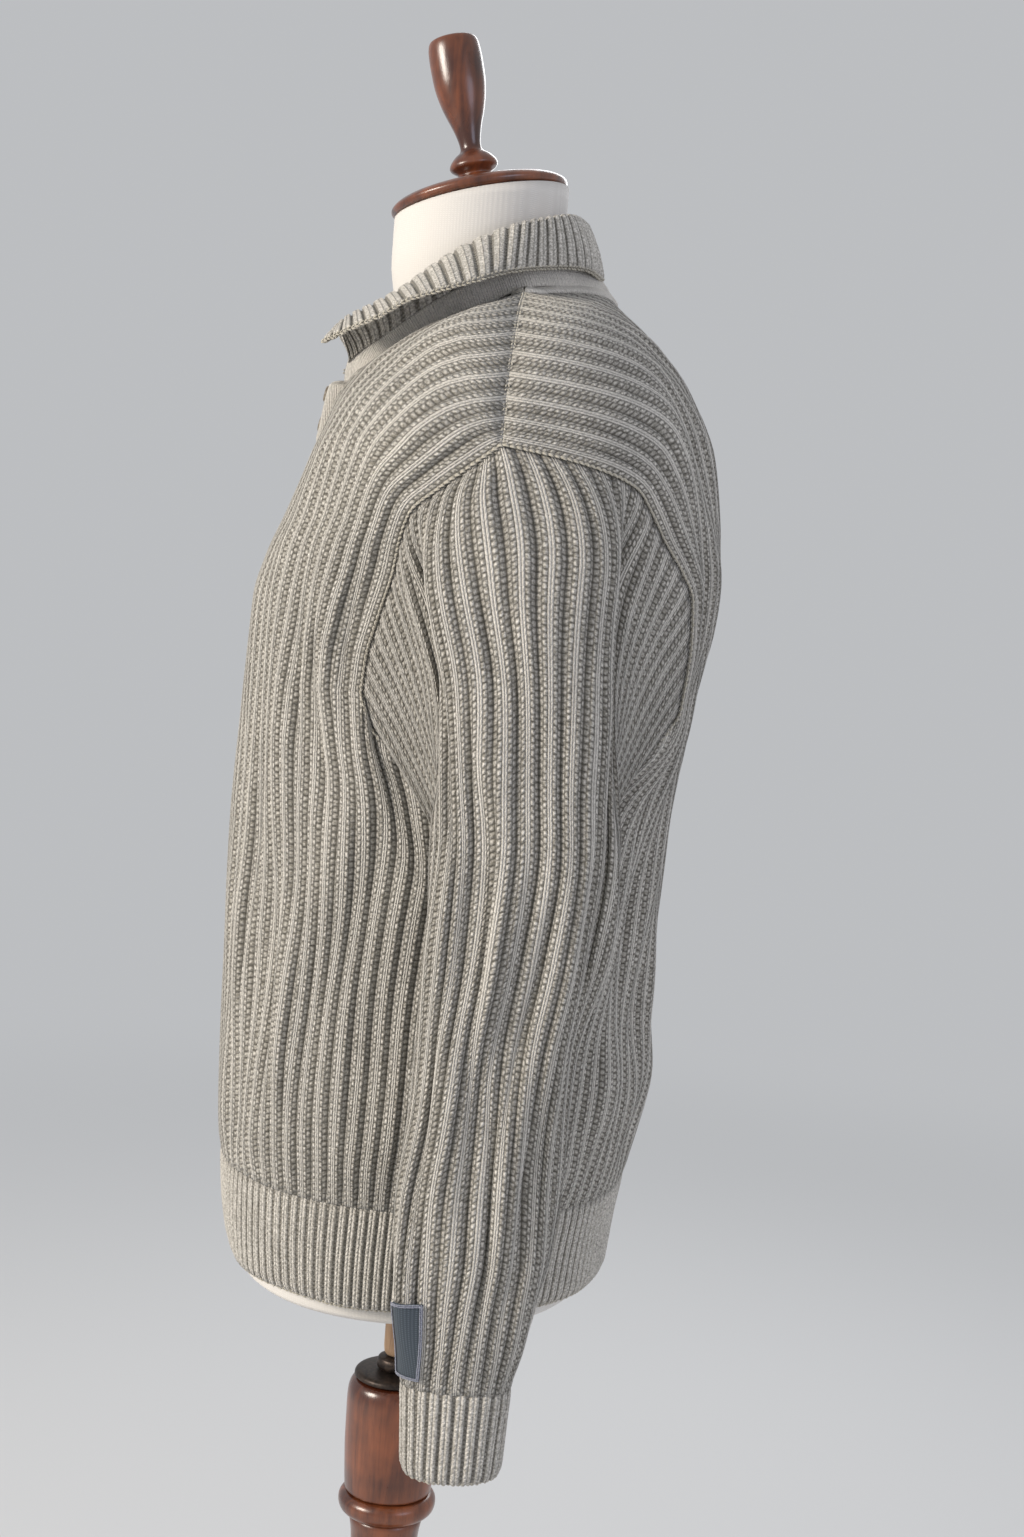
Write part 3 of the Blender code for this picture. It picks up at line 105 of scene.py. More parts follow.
seamCurves = {
    "frontArmhole": (
        (24.5, 3.3, 129.0), (24.1, 1.4, 127.5), (23.5, -0.4, 126.1), (22.5, -2.1, 124.6),
        (21.4, -2.7, 122.8), (20.5, -3.0, 121.0), (19.4, -3.9, 117.8), (18.8, -4.5, 115.3),
        (18.5, -4.7, 113.0),
    ),
    "frontUnderarm": (
        (18.5, -4.7, 113.0), (18.6, -3.9, 110.9), (18.9, -2.2, 109.1), (19.8, 0.6, 107.7),
        (20.5, 4.4, 107.2),
    ),
    "backArmhole": (
        (24.5, 3.3, 129.0), (24.3, 6.9, 128.5), (23.5, 9.5, 128.0), (22.1, 11.9, 127.1),
        (20.9, 13.0, 125.7), (19.5, 14.1, 124.0), (18.0, 15.4, 122.3), (16.7, 16.3, 120.6),
        (16.2, 16.5, 117.5), (16.4, 16.1, 113.0),
    ),
    "backUnderarm": (
        (16.4, 16.1, 113.0), (17.3, 14.6, 110.9), (18.7, 12.0, 109.2), (20.0, 8.4, 107.8),
        (20.5, 4.4, 107.2),
    ),
    "frontNeck": (      # flat place first, then the point
        (0.0, 0.0, -8.8, 134.5), (1.9, 2.1, -8.4, 134.6), (3.1, 3.3, -7.0, 135.0),
        (4.4, 4.6, -5.3, 136.0), (5.6, 5.9, -3.6, 137.1), (6.8, 7.0, -1.5, 138.7),
        (7.7, 7.6, 0.9, 139.9), (8.45, 7.6, 3.8, 141.4),
    ),
    "backNeck": (
        (0.0, 0.0, 9.6, 142.9), (3.4, 3.5, 7.9, 142.5), (6.2, 6.0, 6.0, 142.0),
        (8.45, 7.6, 3.8, 141.4),
    ),
    "shoulder": (
        (8.45, 7.6, 3.8, 141.4), (11.1, 11.5, 3.8, 140.4), (13.6, 15.2, 3.7, 139.2),
        (15.6, 18.0, 3.6, 137.8), (17.3, 20.0, 3.5, 136.2), (19.1, 21.7, 3.4, 134.2),
        (21.1, 23.2, 3.3, 131.8), (24.05, 24.5, 3.3, 129.0),
    ),
    "armTurns": ((78.6, 0.80, 0.78), (95.0, 0.79, 0.75), (105.0, 0.75, 0.70), (113.0, 0.68, 0.55)),
}


def table(names, rows):
    return {name: np.array([row[i] for row in rows]) for i, name in enumerate(names)}


def readColumn(sheet, key, name, at):     # smooth reading of a table, level past its ends
    order = np.argsort(sheet[key])
    keys = sheet[key][order]
    values = sheet[name][order]
    steps = np.diff(keys)
    slopes = np.diff(values) / steps
    tangents = np.zeros(len(keys))
    sameWay = slopes[:-1] * slopes[1:] > 0
    before = 2 * steps[1:] + steps[:-1]
    after = steps[1:] + 2 * steps[:-1]
    inner = np.zeros(len(keys) - 2)
    inner[sameWay] = (before + after)[sameWay] / (
        before[sameWay] / slopes[:-1][sameWay] + after[sameWay] / slopes[1:][sameWay])
    tangents[1:-1] = inner
    tangents[0] = slopes[0]
    tangents[-1] = slopes[-1]
    at = np.clip(at, keys[0], keys[-1])
    place = np.clip(np.searchsorted(keys, at, side="right") - 1, 0, len(keys) - 2)
    run = steps[place]
    share = (at - keys[place]) / run
    square = share * share
    cube = square * share
    return ((2 * cube - 3 * square + 1) * values[place] + (cube - 2 * square + share) * run * tangents[place]
            + (3 * square - 2 * cube) * values[place + 1] + (cube - square) * run * tangents[place + 1])


def ease(value):
    value = np.clip(value, 0.0, 1.0)
    return value * value * (3 - 2 * value)


def unit(vectors):
    return vectors / np.maximum(np.linalg.norm(vectors, axis=-1, keepdims=True), 1e-9)


def lineRun(line):     # running length along a line of points
    return np.concatenate(([0.0], np.cumsum(np.linalg.norm(np.diff(line, axis=0), axis=1))))


def measured(rows):     # a curve's points with their running length from 0 to 1
    points = np.array(rows, dtype=float)
    lengths = lineRun(points)
    return {"x": points[:, 0], "y": points[:, 1], "height": points[:, 2], "run": lengths / lengths[-1]}


def readPoint(sheet, key, at):
    return np.stack([readColumn(sheet, key, name, at) for name in ("x", "y", "height")], axis=-1)


def gridNormals(points, flip):
    return unit(np.cross(np.gradient(points, axis=1), np.gradient(points, axis=0))) * flip


def smoothed(values, passes):     # evens a grid of vectors along and across
    for _ in range(passes):
        spread = values.copy()
        spread[:, 1:-1] = values[:, :-2] + 2 * values[:, 1:-1] + values[:, 2:]
        spread[:, 0] = 4 * values[:, 0]
        spread[:, -1] = 4 * values[:, -1]
        values = spread.copy()
        values[1:-1] = spread[:-2] + 2 * spread[1:-1] + spread[2:]
        values[0] = 4 * spread[0]
        values[-1] = 4 * spread[-1]
        values = values / 16
    return values


def softWaves(across, along, seed, waveAcross, waveAlong, count=7):     # gentle uneven waves, about -1 to 1
    draw = np.random.default_rng(seed)
    total = 0.0 * across
    for _ in range(count):
        wide = waveAcross * draw.uniform(0.7, 1.6) * draw.choice((-1.0, 1.0))
        long = waveAlong * draw.uniform(0.7, 1.5)
        total = total + np.sin(2 * np.pi * (across / wide + along / long) + draw.uniform(0, 2 * np.pi))
    return total / math.sqrt(count)


ringSheet = table(bodyRings["names"], bodyRings["rows"])
caps = {-1: measured(seamCurves["frontArmhole"]), 1: measured(seamCurves["backArmhole"])}
underarms = {-1: measured(seamCurves["frontUnderarm"]), 1: measured(seamCurves["backUnderarm"])}
neckNames = ("flat", "x", "y", "height")
necklines = {-1: table(neckNames, seamCurves["frontNeck"]), 1: table(neckNames, seamCurves["backNeck"])}
shoulderLine = table(neckNames, seamCurves["shoulder"])
armTurns = table(("height", "frontTurn", "backTurn"), seamCurves["armTurns"])
armholes = {face: measured(readPoint(caps[face], "run", np.linspace(0, 1, 34))) for face in (-1, 1)}


def ringParts(sheet, height, face):     # half width, y where it is widest, and depth from there
    names = ("halfWidth", "side", "front" if face < 0 else "back")
    wide, side, edge = (readColumn(sheet, "height", name, height) for name in names)
    return wide, side, np.abs(edge - side)


def ringPoint(sheet, height, turn, face):     # turn is 0 at the centre line and 1 at the side seam
    wide, side, deep = ringParts(sheet, height, face)
    power = readColumn(sheet, "height", "frontPower" if face < 0 else "backPower", height)
    angle = turn * np.pi / 2
    across = np.sqrt(wide / deep) * np.sin(angle)
    along = np.cos(angle)
    length = np.hypot(across, along)
    across = np.abs(across / length)
    along = np.abs(along / length)
    reach = ((across / wide) ** power + (along / deep) ** power) ** (-1 / power)
    return np.stack([reach * across, side + face * reach * along, height + 0 * reach], axis=-1)


def turnAt(x, y, height, face):
    wide, side, deep = ringParts(ringSheet, height, face)
    return np.arctan2(x / np.sqrt(wide / deep), np.maximum(face * (y - side), 0.0)) / (np.pi / 2)


def topPoint(flat, face):     # where a rib ends: on the neckline, or on the shoulder seam beyond it
    neck = readPoint(necklines[face], "flat", flat)
    shoulder = readPoint(shoulderLine, "flat", flat)
    return np.where((flat <= neckEdge)[..., None], neck, shoulder)


def underPoint(flat, face):
    share = (flat - armEdge) / (flatEdge - armEdge)
    return readPoint(underarms[face], "run", share)


def armTurn(height, face):
    below = readColumn(armTurns, "height", "frontTurn" if face < 0 else "backTurn", height)
    held = np.clip(height, cornerHeight, shoulderHeight)
    edge = readPoint(armholes[face], "height", held)
    above = turnAt(edge[..., 0], edge[..., 1], held, face)
    share = ease((height - (cornerHeight - 6)) / 6)
    return below * (1 - share) + above * share


def bodyTurn(flat, height, face):     # how far round its ring a rib has gone at a height
    inside = np.minimum(flat, armEdge)
    share = inside / armEdge
    top = topPoint(inside, face)
    topTurn = np.where(inside <= neckEdge, turnAt(top[..., 0], top[..., 1], top[..., 2], face), 1.0)
    reach = ease((height - garment["shoulderStart"]) / (top[..., 2] - garment["shoulderStart"]))
    arm = armTurn(height - (top[..., 2] - shoulderHeight) * reach, face)
    fall = np.maximum(top[..., 2] - height, 0.0)
    swing = (1 - ease(fall / garment["swingEnd"])) / (1 + fall / garment["swingFall"])
    lower = share * arm + (topTurn - share) * swing
    beyond = arm + (flat - armEdge) / (flatEdge - armEdge) * (1 - arm)
    return np.where(flat > armEdge, beyond, lower)


def onRing(flat, height, face):
    return ringPoint(ringSheet, height, bodyTurn(flat, height, face), face)


def ringOrEdge(flat, height, face):     # ring point, pulled onto the armhole and underarm curves near them
    raw = onRing(flat, height, face)
    held = np.clip(height, cornerHeight, shoulderHeight)
    pull = readPoint(armholes[face], "height", held) - onRing(np.full_like(height, armEdge), held, face)
    nearEdge = ease((flat - (armEdge - 7)) / 7) * ease((height - (cornerHeight - 8)) / 8)
    inner = pull * (nearEdge * (height <= shoulderHeight + 0.01))[..., None]
    beyond = np.maximum(flat, armEdge)
    under = underPoint(beyond, face)
    underRing = onRing(beyond, under[..., 2], face)
    outer = (under - underRing) * ease((height - (under[..., 2] - 8)) / 8)[..., None]
    return raw + np.where((flat > armEdge)[..., None], outer, inner)


def bodyPoint(flat, height, face):     # outer surface of a panel at a flat distance from its centre line
    reach = np.abs(flat)
    top = topPoint(reach, face)
    point = ringOrEdge(reach, height, face)
    lift = top - ringOrEdge(reach, top[..., 2], face)
    over = (reach <= armEdge + 1e-6) * ease((height - (top[..., 2] - 6)) / 6)
    point = point + lift * over[..., None]
    point[..., 0] *= np.sign(flat) + (flat == 0)
    return point


def capPlace(place, face):     # point of the armhole seam, from the shoulder past the corner to the side seam
    corner = garment["capCorner"]
    hole = readPoint(caps[face], "run", np.minimum(place / corner, 1.0))
    under = readPoint(underarms[face], "run", (place - corner) / (capPlaces - corner))
    return np.where((place > corner)[..., None], under, hole)


def seamSide(place, face):     # direction across the armhole seam, from the body to the sleeve
    line = capPlace(np.minimum(place + 0.5, capPlaces), face) - capPlace(np.maximum(place - 0.5, 0.0), face)
    ray = capPlace(place, face) - armholeHeart
    return unit(np.cross(line, ray)) * face


print("shape functions ready")


def hexColour(text):     # sRGB hex to the linear numbers that a shader wants
    channels = [int(text[i:i + 2], 16) / 255 for i in (1, 3, 5)]
    return tuple(c / 12.92 if c <= 0.04045 else ((c + 0.055) / 1.055) ** 2.4 for c in channels) + (1.0,)


def addNode(tree, kind, inputs=None, out=0, **settings):     # a node, its settings and links; gives an output
    node = tree.nodes.new(kind)
    for key, value in settings.items():
        setattr(node, key, value)
    for key, value in (inputs or {}).items():
        if isinstance(value, bpy.types.NodeSocket):
            tree.links.new(value, node.inputs[key])
        else:
            node.inputs[key].default_value = value
    return node if out is None else node.outputs[out]


def newMaterial(name):     # gives its object coordinates too
    material = bpy.data.materials.new(name)
    material.use_nodes = True
    tree = material.node_tree
    tree.nodes.clear()
    return material, tree, addNode(tree, "ShaderNodeTexCoord", out="Object")


def chain(tree, value, *steps):     # Math nodes one after another, each an operation and what it takes
    for operation, *others in steps:
        value = addNode(tree, "ShaderNodeMath", dict(enumerate((value, *others))), operation=operation)
    return value


def spanNode(tree, value, low, high, start=0.0, end=1.0, **settings):
    limits = {"Value": value, "From Min": low, "From Max": high, "To Min": start, "To Max": end}
    return addNode(tree, "ShaderNodeMapRange", limits, **settings)


def mixNode(tree, share, first, second):     # colours as hex text or as links
    first, second = (hexColour(tone) if isinstance(tone, str) else tone for tone in (first, second))
    return addNode(tree, "ShaderNodeMix", {"Factor": share, 6: first, 7: second}, out=2, data_type="RGBA")


def noiseNode(tree, place, scale, detail, **more):
    inputs = {"Vector": place, "Scale": scale, "Detail": detail, **more}
    return addNode(tree, "ShaderNodeTexNoise", inputs, out="Fac")


def finishMaterial(tree, shader):
    addNode(tree, "ShaderNodeOutputMaterial", {"Surface": shader}, out=None)


def coat(tree, colour, roughness, height, strength, distance, more):     # one bumped surface
    bump = addNode(tree, "ShaderNodeBump", {"Height": height, "Strength": strength, "Distance": distance})
    inputs = {"Base Color": colour, "Roughness": roughness, "Normal": bump, **more}
    finishMaterial(tree, addNode(tree, "ShaderNodeBsdfPrincipled", inputs))


def woolly(sheen):
    return {"Specular IOR Level": 0.25, "Sheen Weight": sheen, "Sheen Roughness": 0.5}


# Marled wool: an ecru strand plied with a grey-brown one. Lit ribs read cream; the valleys between
# ribs and the gaps between stitches are darkened with painted shade.
wool = {
    "cream": "#e6e1d8",
    "marl": "#8d887d",
    # painted shade for the bottoms of the valleys between ribs
    "shade": "#6c675c",
    # painted shade for the low places between stitches
    "gapShade": "#3a372e",
    "ply": 620.0,            # flecks per metre where the two strands twist
    "fibre": 1500.0,         # noise per metre for single fibres
    "bump": 0.0014,          # how far a stitch stands out, in metres
    "legEven": 0.28,         # how little a V stitch narrows between rows
    "beadHeight": 0.85,
    "drift": 42.0,           # slow change of tone, per metre
}


def knitMaterial(name, legHalf, beadWide, valleyAt, lean, depth, gapShadeShare, creamShare, bumpShare):
    # uv counts ribs across and rows along; legHalf is the half width of the V stitches in ribs,
    # beadWide that of each purl column beside them, depth how dark painted shade makes the valleys
    # between ribs and the gap share how dark it makes the gaps between stitches, creamShare how little
    # the V stitches are flecked and bumpShare how far all stitches stand out
    material, tree, place = newMaterial(name)
    uv = addNode(tree, "ShaderNodeUVMap", out="UV", uv_map="knit")
    split = addNode(tree, "ShaderNodeSeparateXYZ", {0: uv}, out=None)
    across, along = split.outputs[0], split.outputs[1]
    away = chain(tree, across, ("SUBTRACT", chain(tree, across, ("ROUND",))), ("ABSOLUTE",))
    halfTurn = (("FRACT",), ("MULTIPLY", math.pi), ("SINE",))
    # V stitches: two legs that lean to the middle of the rib
    legAlong = chain(tree, away, ("MULTIPLY", lean), ("ADD", along), *halfTurn,
                     ("MULTIPLY", 1 - wool["legEven"]), ("ADD", wool["legEven"]))
    legCross = chain(tree, away, ("MULTIPLY", math.pi / legHalf), ("SINE",))
    legKeep = spanNode(tree, away, legHalf, legHalf + 0.02, 1.0, 0.0)
    leg = chain(tree, legAlong, ("MULTIPLY", legCross), ("MAXIMUM", 0.001), ("POWER", 0.5),
                ("MULTIPLY", legKeep))
    # purl columns: short round humps, each column half a row on from the last
    beadPlace = chain(tree, away, ("SUBTRACT", legHalf), ("DIVIDE", beadWide), ("MAXIMUM", 0.0))
    beadCross = chain(tree, beadPlace, *halfTurn)
    beadAlong = chain(tree, beadPlace, ("FLOOR",), ("MULTIPLY", 0.5), ("ADD", along), *halfTurn)
    bead = chain(tree, beadCross, ("MULTIPLY", beadAlong), ("MULTIPLY", wool["beadHeight"]))
    stitch = chain(tree, leg, ("MAXIMUM", bead))
    # marl: pale and grey flecks about a stitch long
    fleck = noiseNode(tree, uv, 2.6, 5.0, Roughness=0.85)
    plied = chain(tree, fleck, ("ADD", noiseNode(tree, place, wool["ply"], 2.0)))
    marlHere = mixNode(tree, spanNode(tree, plied, 0.86, 1.16), wool["marl"], wool["cream"])
    legMask = spanNode(tree, away, legHalf * 0.9, legHalf * 1.15, creamShare, 0.10)
    yarn = mixNode(tree, legMask, marlHere, wool["cream"])
    # painted shade: the colour darkens towards the bottom of each valley between ribs
    deep = mixNode(tree, spanNode(tree, away, valleyAt, 0.5, 0.0, depth), yarn, wool["shade"])
    # painted shade: the colour darkens where the stitches are low, in the gaps between them
    tone = mixNode(tree, spanNode(tree, stitch, 0.0, 0.62, gapShadeShare, 0.0), deep, wool["gapShade"])
    drift = spanNode(tree, noiseNode(tree, place, wool["drift"], 2.0), 0.3, 0.7, 0.94, 1.05)
    colour = addNode(tree, "ShaderNodeVectorMath", {0: tone, "Scale": drift}, operation="SCALE")
    # fibres that blur the stitches
    fibre = chain(tree, noiseNode(tree, place, wool["fibre"], 4.0, Roughness=0.8), ("MULTIPLY", 0.35))
    rise = chain(tree, stitch, ("ADD", fibre))
    coat(tree, colour, 0.92, rise, 1.0, wool["bump"] * bumpShare, woolly(0.25))
    return material


def yarnMaterial(name, colour, darker):     # plied wool yarn, used for seams and edges
    material, tree, place = newMaterial(name)
    fibre = noiseNode(tree, place, 900.0, 4.0, Roughness=0.75)
    mixed = mixNode(tree, spanNode(tree, fibre, 0.35, 0.65), darker, colour)
    coat(tree, mixed, 0.92, fibre, 0.6, 0.0005, woolly(0.2))
    return material


def clothMaterial(name, warpColour, weftColour, threads, bumpHeight):
    # plain woven cloth: threads a metre from the real spacing, drawn in object space
    material, tree, place = newMaterial(name)
    turned = addNode(tree, "ShaderNodeVectorMath", {0: place, 1: (1.0, 1.0, 0.0)}, operation="MULTIPLY")
    wave = {"Scale": threads / 6.2832, "Distortion": 0.6, "Detail": 1.0}
    warp, weft = (addNode(tree, "ShaderNodeTexWave", {"Vector": spot, **wave}, out="Fac", bands_direction=way)
                  for spot, way in ((place, "Z"), (turned, "DIAGONAL")))
    both = chain(tree, warp, ("MULTIPLY", weft))
    share = chain(tree, both, ("MULTIPLY", noiseNode(tree, place, 14.0, 4.0)))
    colour = mixNode(tree, share, warpColour, weftColour)
    coat(tree, colour, 0.85, both, 0.5, bumpHeight, {"Specular IOR Level": 0.3, "Sheen Weight": 0.1})
    return material


def woodMaterial(name, pale, dark, grain, roughness, varnish):
    # turned hardwood: long fibres up the axis, rubbed stain, varnish where it is above 0
    material, tree, place = newMaterial(name)
    stretched = addNode(tree, "ShaderNodeMapping", {"Vector": place, "Scale": (1.0, 1.0, 0.09)})
    rings = noiseNode(tree, stretched, grain, 8.0, Roughness=0.62, Distortion=0.6)
    pores = noiseNode(tree, stretched, grain * 9, 4.0, Roughness=0.7)
    wear = noiseNode(tree, place, 22.0, 3.0)
    share = spanNode(tree, chain(tree, rings, ("ADD", wear)), 0.78, 1.22)
    base = mixNode(tree, share, dark, pale)
    colour = mixNode(tree, spanNode(tree, pores, 0.56, 0.70, 0.0, 0.55), base, dark)
    gloss = spanNode(tree, wear, 0.3, 0.7, roughness - 0.07, roughness + 0.1)
    coat(tree, colour, gloss, pores, 0.25, 0.0004, {"Coat Weight": varnish, "Coat Roughness": 0.22})
    return material


def speckMaterial(name, main, fleck, scale, roughness, metallic, bumpHeight):
    # cast, horn or painted surface with soft flecks
    material, tree, place = newMaterial(name)
    noise = noiseNode(tree, place, scale, 5.0, Distortion=0.8)
    colour = mixNode(tree, spanNode(tree, noise, 0.35, 0.68), main, fleck)
    coat(tree, colour, roughness, noise, 0.4, bumpHeight, {"Metallic": metallic})
    return material


wideKnit = knitMaterial("marled_wool_wide_rib", legHalf=0.11, beadWide=0.20, valleyAt=0.34, lean=4.0,
                        depth=0.70, gapShadeShare=0.78, creamShare=0.60, bumpShare=1.0)
narrowKnit = knitMaterial("marled_wool_narrow_rib", legHalf=0.37, beadWide=0.30, valleyAt=0.34, lean=1.6,
                          depth=0.75, gapShadeShare=0.60, creamShare=0.25, bumpShare=0.9)
plainKnit = knitMaterial("marled_wool_plain_knit", legHalf=0.47, beadWide=0.30, valleyAt=0.45, lean=1.5,
                         depth=0.0, gapShadeShare=0.10, creamShare=0.72, bumpShare=0.6)
seamYarn = yarnMaterial("wool_seam_yarn", "#d5cfc2", "#a39d8d")
sewingThread = yarnMaterial("cotton_thread", "#8e8a80", "#5d594f")
patchCloth = clothMaterial("woven_patch", "#3b434b", "#68737e", threads=1500.0, bumpHeight=0.0003)
patchThread = yarnMaterial("patch_edge_thread", "#a5a8b4", "#6c7080")
calico = clothMaterial("cotton_calico", "#d9d5cf", "#e9e6e1", threads=1400.0, bumpHeight=0.0002)
turnedWood = woodMaterial("stained_varnished_beech", "#8a4c2a", "#421e10", grain=70.0, roughness=0.33,
                          varnish=0.6)
rawWood = woodMaterial("raw_beech", "#b39678", "#7a6049", grain=120.0, roughness=0.6, varnish=0.0)
darkIron = speckMaterial("blackened_iron", "#2a2523", "#4a3f38", scale=260.0, roughness=0.42, metallic=0.7,
                         bumpHeight=0.0002)
horn = speckMaterial("horn_button", "#8a8173", "#5c5345", scale=320.0, roughness=0.35, metallic=0.0,
                     bumpHeight=0.0001)
print("materials ready")


def addObject(name, mesh):
    item = bpy.data.objects.new(name, mesh)
    scene.collection.objects.link(item)
    return item


def ringFaces(start, rings, sides, falling=False):     # quads between rings; falling from the top down
    faces = []
    for ring in range(rings - 1):
        for i in range(sides):
            j = (i + 1) % sides
            a, b = start + ring * sides, start + (ring + 1) * sides
            faces.append((a + i, b + i, b + j, a + j) if falling else (a + i, a + j, b + j, b + i))
    return faces


def tilted(points, degrees):     # turned about x
    turn = math.radians(degrees)
    cos, sin = math.cos(turn), math.sin(turn)
    x, y, z = points.T
    return np.stack([x, y * cos - z * sin, y * sin + z * cos], axis=-1)


def addPiece(name, vertices, faces, material, replaced=(), uvs=None, flatFrom=None):
    mesh = bpy.data.meshes.new(name)
    mesh.from_pydata((np.asarray(vertices) * 0.01).tolist(), [], faces)
    mesh.update()
    if uvs is not None:
        layer = mesh.uv_layers.new(name="knit")
        corners = np.zeros(len(mesh.loops), dtype=np.int32)
        mesh.loops.foreach_get("vertex_index", corners)
        layer.data.foreach_set("uv", np.asarray(uvs, dtype=np.float32)[corners].ravel())
    smooth = np.ones(len(mesh.polygons), dtype=bool)
    if flatFrom is not None:
        smooth[flatFrom:] = False
    mesh.polygons.foreach_set("use_smooth", smooth)
    mesh.materials.append(material)
    piece = addObject(name, mesh)
    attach(piece, "root")
    if replaced:
        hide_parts(*replaced)
    return piece


def quads(*corners):
    return np.stack(corners, -1).tolist()


def clothPiece(name, outer, inner, uv, step, material, replaced, mask=None, loop=False, flip=False,
               shift=0.0):
    # a knitted wall: fine outer grid, inner grid with one column for each step of them, rims between
    rows, columns = outer.shape[:2]
    cells = (columns - 1) // step
    if mask is None:
        mask = np.ones((rows - 1, cells), dtype=bool)
    inner = inner[:, ::step]
    front = np.arange(rows * columns).reshape(rows, columns)
    back = rows * columns + np.arange(rows * (cells + 1)).reshape(rows, cells + 1)
    r, c = np.nonzero(np.repeat(mask, step, axis=1))
    faces = quads(front[r, c], front[r, c + 1], front[r + 1, c + 1], front[r + 1, c])
    r, c = np.nonzero(mask)
    faces += quads(back[r, c], back[r + 1, c], back[r + 1, c + 1], back[r, c + 1])
    rimStart = len(faces)
    padded = np.pad(mask, 1)
    r, c = np.nonzero(mask & ~padded[:-2, 1:-1])
    along = [front[r, c * step + k] for k in range(step, -1, -1)]
    faces += quads(*along, back[r, c], back[r, c + 1])
    r, c = np.nonzero(mask & ~padded[2:, 1:-1])
    along = [front[r + 1, c * step + k] for k in range(step + 1)]
    faces += quads(*along, back[r + 1, c + 1], back[r + 1, c])
    if not loop:
        r, c = np.nonzero(mask & ~padded[1:-1, :-2])
        faces += quads(front[r, c * step], front[r + 1, c * step], back[r + 1, c], back[r, c])
        r, c = np.nonzero(mask & ~padded[1:-1, 2:])
        c = c + 1
        faces += quads(front[r + 1, c * step], front[r, c * step], back[r, c], back[r + 1, c])
    if flip:
        faces = [face[::-1] for face in faces]
    vertices = np.concatenate((outer.reshape(-1, 3), inner.reshape(-1, 3)))
    uvs = np.concatenate((uv.reshape(-1, 2), (uv[:, ::step] + (shift, 0.0)).reshape(-1, 2)))
    piece = addPiece(name, vertices, faces, material, replaced, uvs, rimStart)
    shell = bmesh.new()
    shell.from_mesh(piece.data)
    if loop:
        bmesh.ops.remove_doubles(shell, verts=shell.verts, dist=1e-6)
    loose = [vertex for vertex in shell.verts if not vertex.link_faces]
    bmesh.ops.delete(shell, geom=loose, context="VERTS")
    shell.to_mesh(piece.data)
    shell.free()
    return piece


ribShape = {      # across half a rib: a crown of V stitches, a shoulder of beads, a deep gap
    "falls": ((0.07, 0.42, 0.45), (0.30, 0.20, 0.55)),                          # start, run, fall
    "humps": ((0.31, 0.09, 0.16), (0.15, 0.03, -0.10), (0.0, 0.03, -0.12)),     # middle, width, rise
}


def ribRelief(phase, crown, floor):     # height of a wide rib
    away = np.abs(phase - np.round(phase))
    high = 1.0
    for start, run, fall in ribShape["falls"]:
        high = high - fall * ease((away - start) / run)
    for middle, width, rise in ribShape["humps"]:
        high = high + rise * np.exp(-((away - middle) / width) ** 2)
    return floor + (crown - floor) * np.clip(high, 0.0, 1.0)


def bandRelief(phase, crown, floor):     # height of a narrow one-and-one rib
    away = np.abs(phase - np.round(phase))
    return floor + (crown - floor) * (1 - ease((away - 0.26) / 0.22))


def runLengths(points):     # length along each column of a grid, for the rows of stitches
    steps = np.linalg.norm(np.diff(points, axis=0), axis=-1)
    return np.concatenate((np.zeros((1, points.shape[1])), np.cumsum(steps, axis=0)))


